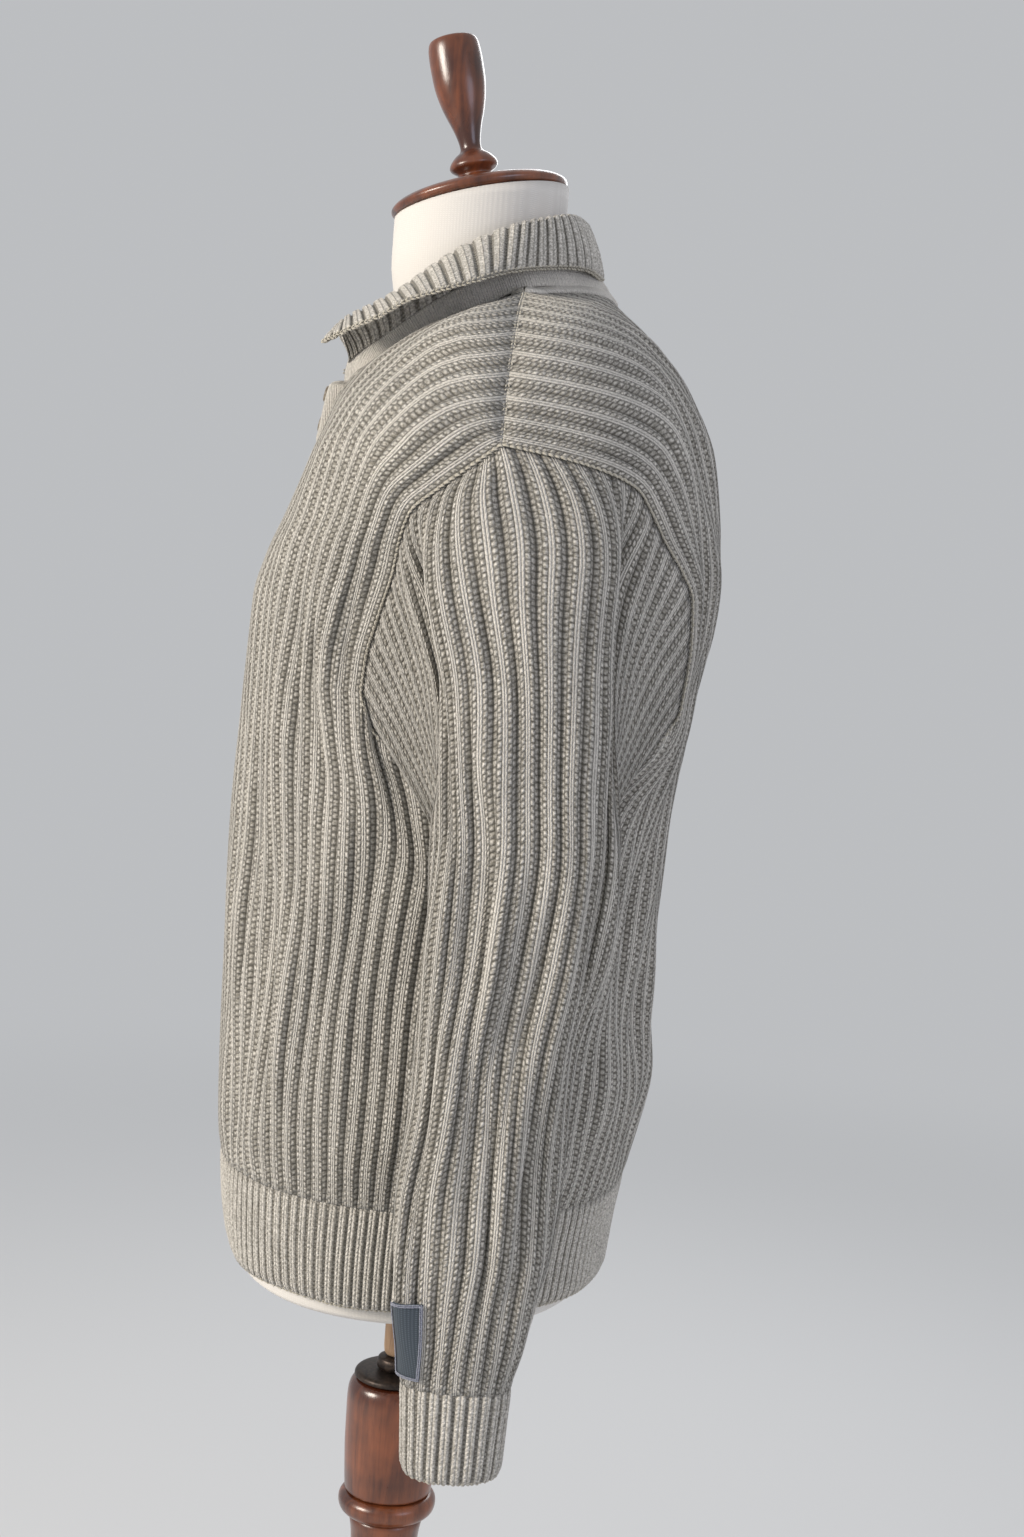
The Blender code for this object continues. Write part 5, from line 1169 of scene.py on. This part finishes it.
def placketPiece():
    columns, rows = 36, 64
    flat = np.linspace(-placketSettings["half"], placketSettings["half"], columns + 1)
    low, high = placketSettings["low"], placketSettings["high"]
    heights = np.linspace(low, high, rows + 1)
    gridFlat, height = np.meshgrid(flat, heights)
    rise = (height - low) / (high - low)
    base = bodyPoint(gridFlat, np.minimum(height, seamCurves["frontNeck"][0][3]), -1)
    base[..., 2] = height
    side = np.abs(gridFlat) / placketSettings["half"]
    full = placketSettings["lift"] + placketSettings["lean"] * rise ** 1.5 + placketSettings["wall"] + 0.18
    ends = np.minimum(rise * 0.6, 1 - rise) * (high - low)
    turned = np.sqrt(np.clip(1 - side ** 9, 0, 1)) * (0.45 + 0.55 * np.sqrt(np.clip(ends / 0.35, 0, 1)))
    inner = base + (0.12 + 0 * full)[..., None] * (0.0, -1.0, 0.0)
    thick = (full - 0.12) * turned + 0.04 * np.exp(-((side - 0.8) / 0.09) ** 2)
    outer = inner + np.maximum(thick, 0.05)[..., None] * (0.0, -1.0, 0.0)
    outer[..., 0] *= 1 + 0.10 * turned * side
    across = runLengths(np.swapaxes(outer, 0, 1)).T
    uv = np.stack([across / 0.26, height / 0.24], axis=-1)
    piece = clothPiece("placket_knit", outer, inner, uv, 4, plainKnit, ("placket",))
    return piece, outer


def tubeFaces(path, radius, sides, start):     # closed thread along a path
    path = np.asarray(path, dtype=float)
    along = unit(np.gradient(path, axis=0))
    guide = np.array((0.31, 0.22, 0.93))
    first = unit(np.cross(along, guide))
    second = np.cross(along, first)
    angles = np.linspace(0, 2 * np.pi, sides, endpoint=False)
    rings = path[:, None] + radius * (np.cos(angles)[None, :, None] * first[:, None]
                                      + np.sin(angles)[None, :, None] * second[:, None])
    faces = ringFaces(start, len(path), sides)
    faces.append(tuple(start + i for i in reversed(range(sides))))
    faces.append(tuple(start + (len(path) - 1) * sides + i for i in range(sides)))
    return rings.reshape(-1, 3), faces


def buttonPiece(name, height, strip):
    middle = strip[:, strip.shape[1] // 2]
    y = np.interp(height, middle[:, 2], middle[:, 1])
    tilt = 90 - math.degrees(math.atan2(middle[-1, 1] - middle[0, 1], middle[-1, 2] - middle[0, 2]))
    radius, thick = placketSettings["buttonRadius"], placketSettings["buttonThick"]
    profile = [(0.0, 0.0), (0.45, 0.0), (0.80, 0.0), (0.93, 0.03), (1.0, 0.09), (1.0, 0.15), (0.96, 0.21),
               (0.90, 0.245), (0.84, 0.25), (0.78, 0.235), (0.72, 0.20)]
    profile += [(share, 0.175) for share in np.linspace(0.68, 0.06, 16)] + [(0.0, 0.175)]
    sides = 56
    hole = placketSettings["holePlace"]
    vertices, faces, rings = [], [], []
    for share, z in profile:
        if share == 0.0:
            rings.append([len(vertices)])
            vertices.append((0.0, 0.0, z))
            continue
        rings.append(list(range(len(vertices), len(vertices) + sides)))
        for i in range(sides):
            angle = 2 * np.pi * i / sides
            u, v = radius * share * math.cos(angle), radius * share * math.sin(angle)
            away = min(math.hypot(abs(u) - hole, abs(v) - hole) / placketSettings["holeWide"], 2.0)
            vertices.append((u, v, z - (0.10 * math.exp(-away ** 4) if z == 0.175 else 0.0)))
    for lower, upper in zip(rings[:-1], rings[1:]):
        for i in range(sides):
            j = (i + 1) % sides
            if len(lower) == 1:
                faces.append((lower[0], upper[j], upper[i]))
            elif len(upper) == 1:
                faces.append((lower[i], lower[j], upper[0]))
            else:
                faces.append((lower[i], lower[j], upper[j], upper[i]))
    vertices = np.array(vertices) * (1.0, 1.0, thick / 0.25)
    stitches, stitchFaces = [], []
    arch = ((-hole, 0.12), (-0.09, 0.185), (0.0, 0.20), (0.09, 0.185), (hole, 0.12))
    for sign in (-1, 1):
        for lift in (0.0, 0.012):
            path = [(x, sign * hole + lift, z) for x, z in arch]
            ring, more = tubeFaces(path, 0.022, 6, sum(len(s) for s in stitches))
            stitches.append(ring)
            stitchFaces += more
    centre = (0.0, y + placketSettings["buttonSunk"], height)
    addPiece(name + "_turned", tilted(vertices, tilt) + centre, faces, horn, (name,))
    thread = tilted(np.concatenate(stitches), tilt) + centre
    addPiece(name + "_thread", thread, stitchFaces, sewingThread)


placketKnit, placketOuter = placketPiece()
for buttonName, buttonHeight in placketSettings["buttonHeights"]:
    buttonPiece(buttonName, buttonHeight, placketOuter)
print("placket and buttons ready")


# Patch on the left sleeve: bare woven cloth with an overlocked edge.
patchSettings = {"flat": (-5.2, -2.6), "along": (53.0, 58.2), "clear": 0.20, "wall": 0.10}


def readGrid(grid, rowPlace, columnPlace):     # point between the points of a grid
    row = np.clip(np.floor(rowPlace).astype(int), 0, grid.shape[0] - 2)
    column = np.clip(np.floor(columnPlace).astype(int), 0, grid.shape[1] - 2)
    a, b = (rowPlace - row)[..., None], (columnPlace - column)[..., None]
    return ((grid[row, column] * (1 - a) + grid[row + 1, column] * a) * (1 - b)
            + (grid[row, column + 1] * (1 - a) + grid[row + 1, column + 1] * a) * b)


def patchPiece():
    columns, rows = 28, 52
    first, last = patchSettings["flat"]
    start, end = patchSettings["along"]
    gridFlat, gridAlong = np.meshgrid(np.linspace(first, last, columns + 1),
                                      np.linspace(start, end, rows + 1))
    middle = (leftPoints.shape[1] - 1) / 2
    columnPlace = middle + gridFlat / capHalf * middle
    rowPlace = gridAlong / garment["sleeveLength"] * (leftPoints.shape[0] - 1)
    base = readGrid(smoothed(leftPoints, 3), rowPlace, columnPlace)
    normals = unit(smoothed(gridNormals(base, -1.0), 4))
    inner = base + normals * patchSettings["clear"]
    across = np.minimum(gridFlat - first, last - gridFlat)
    down = np.minimum(gridAlong - start, end - gridAlong)
    rim = np.sqrt(np.clip(np.minimum(across, down) / 0.09, 0.15, 1.0))
    edge = np.exp(-((np.minimum(across, down) - 0.10) / 0.07) ** 2)
    outer = inner + normals * (patchSettings["wall"] * rim + 0.035 * edge)[..., None]
    uv = np.stack([gridFlat, gridAlong], axis=-1)
    piece = clothPiece("sleeve_label_woven", outer, inner, uv, 4, patchCloth, ("sleeve_label",),
                       flip=True)
    return piece, outer, normals


patchWoven, patchOuter, patchNormals = patchPiece()
facings = [neckFacing("neck_facing_front_left", -1, 1), neckFacing("neck_facing_front_right", -1, -1),
           neckFacing("neck_facing_back", 1, 1)]
print("patch ready")


# Stitches that run along a seam: one small knitted loop, repeated along a path.
def addStitch(name):     # a V of two short plump legs, 1 unit long
    vertices, faces = [], []
    for side in (-1, 1):
        path = [(side * 0.10, -0.5, 0.02), (side * 0.22, -0.2, 0.14), (side * 0.34, 0.15, 0.15),
                (side * 0.36, 0.45, 0.03)]
        radii = (0.10, 0.19, 0.20, 0.10)
        base = len(vertices)
        for (x, y, z), radius in zip(path, radii):
            for i in range(6):
                angle = i / 6 * 2 * np.pi
                vertices.append((x + radius * math.cos(angle), y, z + radius * 0.9 * math.sin(angle)))
        faces += ringFaces(base, 4, 6, falling=True)
        faces.append(tuple(base + i for i in range(6)))
        faces.append(tuple(base + 18 + i for i in reversed(range(6))))
    mesh = bpy.data.meshes.new(name)
    mesh.from_pydata(vertices, [], faces)
    mesh.polygons.foreach_set("use_smooth", np.ones(len(faces), dtype=bool))
    return addObject(name, mesh)


def stitchTree():
    tree = bpy.data.node_groups.new("stitches_along_seam", "GeometryNodeTree")
    face = tree.interface
    face.new_socket("Geometry", in_out="INPUT", socket_type="NodeSocketGeometry")
    for label, kind in (("Spacing", "Float"), ("Size", "Float"), ("Unevenness", "Float"), ("Seed", "Int"),
                        ("Stitch", "Object"), ("Yarn", "Material")):
        face.new_socket(label, in_out="INPUT", socket_type="NodeSocket" + kind)
    face.new_socket("Geometry", in_out="OUTPUT", socket_type="NodeSocketGeometry")
    given = addNode(tree, "NodeGroupInput", out=None)
    curve = addNode(tree, "GeometryNodeMeshToCurve", {"Mesh": given.outputs["Geometry"]})
    even = addNode(tree, "GeometryNodeResampleCurve", {"Curve": curve, "Length": given.outputs["Spacing"]},
                   mode="LENGTH")
    facing = addNode(tree, "GeometryNodeInputNamedAttribute", {"Name": "facing"}, data_type="FLOAT_VECTOR")
    tangent = addNode(tree, "GeometryNodeInputTangent")
    upright = addNode(tree, "FunctionNodeAlignRotationToVector", {"Vector": facing}, axis="Z")
    turned = addNode(tree, "FunctionNodeAlignRotationToVector", {"Rotation": upright, "Vector": tangent},
                     axis="Y", pivot_axis="Z")
    least, most = (chain(tree, 1.0, (way, given.outputs["Unevenness"])) for way in ("SUBTRACT", "ADD"))
    draw = addNode(tree, "FunctionNodeRandomValue", {2: least, 3: most, "Seed": given.outputs["Seed"]}, out=1,
                   data_type="FLOAT")
    size = chain(tree, draw, ("MULTIPLY", given.outputs["Size"]))
    shape = addNode(tree, "GeometryNodeObjectInfo", {"Object": given.outputs["Stitch"]}, out="Geometry")
    spread = {"Points": even, "Instance": shape, "Rotation": turned, "Scale": size}
    placed = addNode(tree, "GeometryNodeInstanceOnPoints", spread)
    real = addNode(tree, "GeometryNodeRealizeInstances", {"Geometry": placed})
    coloured = addNode(tree, "GeometryNodeSetMaterial", {"Geometry": real, "Material": given.outputs["Yarn"]})
    addNode(tree, "NodeGroupOutput", {"Geometry": coloured}, out=None)
    return tree


seamStitch = addStitch("seam_stitch")
seamTree = stitchTree()


def stitchRun(name, path, facing, spacing, size, yarn, seed, closed=False, slotName="ecru_wool"):
    # lengths in centimetres; the path is walked in the direction the stitches point
    count = len(path)
    edges = [(i, i + 1) for i in range(count - 1)] + ([(count - 1, 0)] if closed else [])
    mesh = bpy.data.meshes.new(name)
    mesh.from_pydata((np.asarray(path) * 0.01).tolist(), edges, [])
    layer = mesh.attributes.new("facing", "FLOAT_VECTOR", "POINT")
    layer.data.foreach_set("vector", np.asarray(facing, dtype=np.float32).ravel())
    line = addObject(name, mesh)
    modifier = line.modifiers.new("stitches", "NODES")
    modifier.node_group = seamTree
    values = {"Spacing": spacing * 0.01, "Size": size * 0.01, "Unevenness": 0.08, "Seed": seed,
              "Stitch": seamStitch, "Yarn": yarn}
    for item in seamTree.interface.items_tree:
        if item.in_out == "INPUT" and item.name in values:
            modifier[item.identifier] = values[item.name]
    seen = line.evaluated_get(bpy.context.evaluated_depsgraph_get())
    made = bpy.data.meshes.new_from_object(seen)
    made.name = name
    line.modifiers.clear()
    line.data = made
    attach(line, "root")
    return line


runSizes = {      # spacing and size of the loops
    "armhole": (0.40, 0.40),
    "shoulder": (0.36, 0.28),
    "neckline": (0.34, 0.36),
    "collar": (0.36, 0.36),
    "band": (0.36, 0.34),
    "patch": (0.12, 0.20),
}


def armholeRun(side):
    points = 140
    place = np.concatenate((np.linspace(capPlaces, 0, points), np.linspace(0, capPlaces, points)[1:]))
    front = np.arange(len(place)) < points
    path = np.where(front[:, None], capPlace(place, -1), capPlace(place, 1))
    half = (leftPoints.shape[1] - 1) / 2
    column = half + np.where(front, -1.0, 1.0) * place / capPlaces * half
    normals = readGrid(leftNormals, np.zeros(len(place)), column)
    path = path + normals * 0.10
    mirror = np.array((float(side), 1.0, 1.0))
    return path * mirror, normals * mirror


for sideName, side in (("left", 1), ("right", -1)):
    runPath, runNormals = armholeRun(side)
    stitchRun("armhole_seam_" + sideName, runPath, runNormals, *runSizes["armhole"], seamYarn, 5 + side)
half = (frontPoints.shape[1] - 1) // 2
perRib = bodySettings["columnsPerRib"] / garment["rib"]
for sideName, side in (("left", 1), ("right", -1)):
    columns = half + side * np.arange(round(neckEdge * perRib), round(armEdge * perRib))
    shoulderPath = (frontPoints[-1][columns] + backPoints[-1][columns]) / 2
    outward = unit(shoulderPath - np.array((side * 6.0, 4.0, 118.0)))
    stitchRun("shoulder_seam_" + sideName, shoulderPath - outward * 0.04, outward, *runSizes["shoulder"],
              seamYarn, 15 + side)
neckShare = evenShares("seam", 200)
neckPath = collarLine("seam", neckShare)
neckOut = unit(-bandInward(neckShare) + np.array((0.0, 0.0, 0.7)))
stitchRun("neckline_seam", neckPath + neckOut * 0.14, neckOut, *runSizes["neckline"], seamYarn, 21)
collarEdge = collarOuter[-1] - collarNormals[-1] * 0.12
edgeOut = unit(collarNormals[-1] + (collarEdge - collarOuter[-4]) * 0.8)
stitchRun("collar_bound_edge", collarEdge, edgeOut, *runSizes["collar"], seamYarn, 31)
for bandName, (band, grid, normals) in bands.items():
    closed = bandName.startswith("cuff")
    keep = slice(None, -1) if closed else slice(None)
    path = grid[0][keep] - normals[0][keep] * 0.15
    stitchRun(bandName + "_cast_edge", path, unit(normals[0][keep] + (0, 0, -0.8)), *runSizes["band"],
              seamYarn, 43 if closed else 41, closed=closed)
lastRow, lastColumn = patchOuter.shape[0] - 1, patchOuter.shape[1] - 1
around = [(row, 1) for row in range(1, lastRow)] + [(lastRow - 1, column) for column in range(1, lastColumn)]
around += [(row, lastColumn - 1) for row in range(lastRow - 1, 0, -1)]
around += [(1, column) for column in range(lastColumn - 1, 1, -1)]
patchFacing = np.array([patchNormals[spot] for spot in around])
patchPath = np.array([patchOuter[spot] for spot in around]) + patchFacing * 0.02
stitchRun("sleeve_label_edge", patchPath, patchFacing, *runSizes["patch"], patchThread, 51, closed=True,
          slotName="patch_weave")
print("seam stitches ready")


# The form: cotton drawn over a limbless torso, and its turned neck cap, finial and stand.
torsoForm = {
    "rows": (
        (70.2, -11.9, 13.3, 16.2, 1.0, 2.3, 2.3),
        (70.6, -12.3, 13.7, 16.6, 1.0, 2.3, 2.3),
        (87.0, -12.0, 14.1, 16.0, 1.5, 2.3, 2.3),
        (95.0, -11.3, 13.2, 15.3, 2.0, 2.3, 2.3),
        (104.0, -11.9, 13.9, 16.3, 2.6, 2.3, 2.3),
        (112.0, -12.1, 15.2, 17.2, 2.8, 2.2, 2.3),
        (119.0, -11.4, 16.2, 18.0, 2.7, 2.2, 2.3),
        (125.0, -9.6, 16.2, 18.7, 2.9, 2.1, 2.3),
        (129.0, -8.3, 15.7, 18.9, 3.1, 2.1, 2.2),
        (132.0, -7.4, 14.9, 18.6, 3.2, 2.0, 2.1),
        (134.0, -6.7, 13.8, 16.6, 3.2, 1.7, 2.0),
        (136.0, -6.1, 12.0, 12.0, 2.6, 1.5, 1.9),
        (137.4, -5.8, 10.8, 8.9, 1.8, 1.5, 1.9),
        (138.8, -5.7, 9.0, 6.9, 1.2, 1.7, 1.9),
        (140.0, -5.7, 8.0, 6.2, 0.8, 1.9, 1.9),
        (144.0, -6.2, 6.7, 6.3, 0.2, 2.0, 2.0),
        (146.6, -6.2, 6.4, 6.3, 0.0, 2.0, 2.0),
    ),
    "neckTop": (0.0, 0.0, 148.5),
    "tilt": 14.0,
}


def torsoPiece():
    sheet = table(bodyRings["names"], torsoForm["rows"])
    steps = 33
    low, high = torsoForm["rows"][0][0], torsoForm["rows"][-1][0]
    heights = np.unique(np.concatenate((np.linspace(low, low + 0.4, 4), np.linspace(low + 0.4, high, 120))))
    turn = np.linspace(0, 1, steps)
    rings = []
    for height in heights:
        level = np.full(steps, height)
        half = np.concatenate((ringPoint(sheet, level, turn, -1), ringPoint(sheet, level, turn[::-1], 1)[1:]))
        rings.append(np.concatenate((half, half[-2:0:-1] * (-1, 1, 1))))
    top = rings[-1].copy()
    slope = math.tan(math.radians(torsoForm["tilt"]))
    for share in (0.35, 0.7, 1.0):
        ring = top.copy()
        target = torsoForm["neckTop"][2] + top[:, 1] * slope
        ring[:, 2] = top[:, 2] * (1 - share) + target * share
        rings.append(ring)
    count = len(rings[0])
    hub, last = len(rings) * count, (len(rings) - 1) * count
    vertices = np.concatenate(rings + [[rings[0].mean(axis=0), rings[-1].mean(axis=0)]])
    faces = ringFaces(0, len(rings), count)
    for i in range(count):
        j = (i + 1) % count
        faces += [(j, i, hub), (last + i, last + j, hub + 1)]
    return addPiece("form_torso_cotton", vertices, faces, calico, ("form_torso",),
                    flatFrom=len(faces) - 2 * count)


turnings = {      # radius and height, top first
    "neck_cap": ((0.0, 1.3), (4.2, 1.25), (5.9, 1.0), (6.5, 0.65), (6.55, 0.35), (6.3, 0.03), (0.0, 0.03)),
    "finial": ((0.0, 12.1), (1.5, 12.1), (1.85, 11.8), (1.95, 10.6), (1.9, 8.6), (1.55, 7.0), (1.0, 5.5),
               (0.75, 4.4), (0.8, 3.9), (1.3, 3.6), (1.75, 3.1), (1.8, 2.7), (1.25, 2.35), (1.2, 2.1),
               (1.75, 1.75), (1.8, 1.36), (0.0, 1.36)),
    "stand_pole": ((0.0, 70.16), (1.05, 70.16), (1.05, 61.93), (0.0, 61.93)),
    "pole_boss": ((0.0, 61.9), (1.3, 61.9), (1.5, 61.6), (1.5, 60.83), (0.0, 60.83)),
    "stand_disc": ((0.0, 60.8), (2.9, 60.8), (3.15, 60.6), (3.15, 60.23), (0.0, 60.23)),
    "stand_column": ((0.0, 60.2), (3.1, 60.2), (3.45, 59.8), (3.6, 59.0), (3.55, 55.0), (3.35, 51.6),
                     (3.2, 51.43), (0.0, 51.43)),
    "column_bead": ((0.0, 51.4), (3.3, 51.4), (3.7, 51.0), (3.75, 50.5), (3.6, 50.0), (3.1, 49.63),
                    (0.0, 49.63)),
    "stand_shaft": ((0.0, 49.6), (2.9, 49.6), (2.6, 48.2), (2.4, 44.0), (2.5, 34.0), (2.9, 22.0), (3.4, 12.0),
                    (3.9, 7.0), (4.3, 5.2), (4.9, 4.9), (5.1, 4.3), (5.0, 3.63), (0.0, 3.63)),
    "stand_base": ((0.0, 3.6), (6.5, 3.6), (7.0, 3.2), (14.0, 2.8), (20.0, 2.5), (21.0, 2.1), (21.2, 1.5),
                   (20.9, 0.5), (20.6, 0.0), (0.0, 0.0)),
}


def turnedPiece(name, material, centre=(0.0, 0.0, 0.0), tilt=0.0, sides=96, rounds=2):
    profile = np.array(turnings[name])
    for _ in range(rounds):     # corners eased as a turner sands them
        cut = [profile[0]]
        for first, second in zip(profile[:-1], profile[1:]):
            length = np.linalg.norm(second - first)
            bite = min(0.25, 0.35 / max(length, 1e-6))
            cut.append(first + (second - first) * bite)
            cut.append(second + (first - second) * bite)
        cut.append(profile[-1])
        profile = np.array(cut)
    keep = np.concatenate(([True], np.linalg.norm(np.diff(profile, axis=0), axis=1) > 1e-4))
    profile = profile[keep]
    inside = profile[:, 0] > 1e-6
    rows = profile[inside]
    angles = np.linspace(0, 2 * np.pi, sides, endpoint=False)
    rings = np.stack([rows[:, 0, None] * np.cos(angles), rows[:, 0, None] * np.sin(angles),
                      rows[:, 1, None] + 0 * angles], axis=-1)
    vertices = np.concatenate((rings.reshape(-1, 3), [(0, 0, profile[0][1]), (0, 0, profile[-1][1])]))
    hub, last = len(rows) * sides, (len(rows) - 1) * sides
    faces = ringFaces(0, len(rows), sides, falling=True)
    for i in range(sides):
        j = (i + 1) % sides
        faces += [(hub, i, j), (hub + 1, last + j, last + i)]
    return addPiece(name + "_turned", tilted(vertices, tilt) + centre, faces, material, (name,))


torsoPiece()
neckTop, neckTilt = torsoForm["neckTop"], torsoForm["tilt"]
turnedPiece("neck_cap", turnedWood, neckTop, neckTilt)
turnedPiece("finial", turnedWood, neckTop, neckTilt, rounds=3)
turnedPiece("stand_pole", rawWood, sides=48)
turnedPiece("pole_boss", darkIron, sides=48)
turnedPiece("stand_disc", darkIron)
for standName in ("stand_column", "column_bead", "stand_shaft", "stand_base"):
    turnedPiece(standName, turnedWood)
bpy.data.objects.remove(seamStitch)
print("form and stand ready")


# Studio: pale floor, soft key from the chest side, cooler fill from behind.
studio = {
    "floor": 14.0,
    "floorColour": "#d3d4d5",
    "fade": (1.3, 4.2),      # where the floor starts to pass into the backdrop, and where it has
    "key": ((1.5, -2.6, 1.95), (0.0, 0.0, 1.15), 1.2, 92.0, "#fff6ea"),
    "fill": ((2.2, 2.2, 1.7), (0.0, 0.0, 1.1), 1.6, 16.0, "#e2e6ff"),
    "back": ((-2.4, 0.6, 2.4), (0.0, 0.0, 1.2), 1.6, 26.0, "#f2f3f5"),
    "world": ("#dadcdf", 0.72),
}


def floorMaterial():     # painted floor that passes into the backdrop's own tone far from the stand
    material, tree, place = newMaterial("painted_studio_floor")
    away = addNode(tree, "ShaderNodeVectorMath", {0: place}, out="Value", operation="LENGTH")
    share = spanNode(tree, away, *studio["fade"], interpolation_type="SMOOTHSTEP")
    paint = addNode(tree, "ShaderNodeBsdfPrincipled", {"Base Color": hexColour(studio["floorColour"]),
                                                       "Roughness": 0.75})
    tone, strength = studio["world"]
    backdrop = addNode(tree, "ShaderNodeEmission", {"Color": hexColour(tone), "Strength": strength})
    finishMaterial(tree, addNode(tree, "ShaderNodeMixShader", {0: share, 1: paint, 2: backdrop}))
    return material


def standing(right, up, back, place):     # matrix of a lamp or camera that looks away from back
    return Matrix([[right[i], up[i], back[i], place[i]] for i in range(3)] + [[0, 0, 0, 1]])


floorCorners = ((-1, -1), (1, -1), (1, 1), (-1, 1))
floorMesh = bpy.data.meshes.new("studio_floor")
floorMesh.from_pydata([(x * studio["floor"], y * studio["floor"], -0.0005) for x, y in floorCorners], [],
                      [(0, 1, 2, 3)])
floorMesh.materials.append(floorMaterial())
addObject("studio_floor", floorMesh)


def addLight(name, place, target, size, power, colour):
    data = bpy.data.lights.new(name, "AREA")
    data.shape = "DISK"
    data.size = size
    data.energy = power
    data.color = hexColour(colour)[:3]
    back = unit(np.array(place) - np.array(target))
    right = unit(np.cross((0.0, 0.0, 1.0), back))
    addObject(name, data).matrix_world = standing(right, np.cross(back, right), back, place)


for lightName in ("key", "fill", "back"):
    addLight(lightName + "_light", *studio[lightName])
world = bpy.data.worlds.new("studio_world")
world.use_nodes = True
backdrop = world.node_tree.nodes["Background"]
backdrop.inputs[0].default_value = hexColour(studio["world"][0])
backdrop.inputs[1].default_value = studio["world"][1]
scene.world = world
scene.view_settings.view_transform = "Standard"

# Camera: level with the chest, from the wearer's left, tipped as the photograph was.
camera = {"place": (1.47, 0.054, 1.182), "pitch": 4.2, "roll": 4.3, "lens": 1970 / 1537 * 36}
pitch, roll = math.radians(camera["pitch"]), math.radians(camera["roll"])
forward = np.array((-math.cos(pitch), 0.0, -math.sin(pitch)))
levelRight = np.array((0.0, 1.0, 0.0))
levelUp = np.cross(levelRight, forward)
cameraRight = levelRight * math.cos(roll) + levelUp * math.sin(roll)
cameraUp = -levelRight * math.sin(roll) + levelUp * math.cos(roll)
lensData = bpy.data.cameras.new("photo_camera")
lensData.lens = camera["lens"]
lensData.sensor_width = 36.0
lensData.clip_end = 60.0
scene.camera = addObject("photo_camera", lensData)
scene.camera.matrix_world = standing(cameraRight, cameraUp, -forward, camera["place"])
print("studio ready")
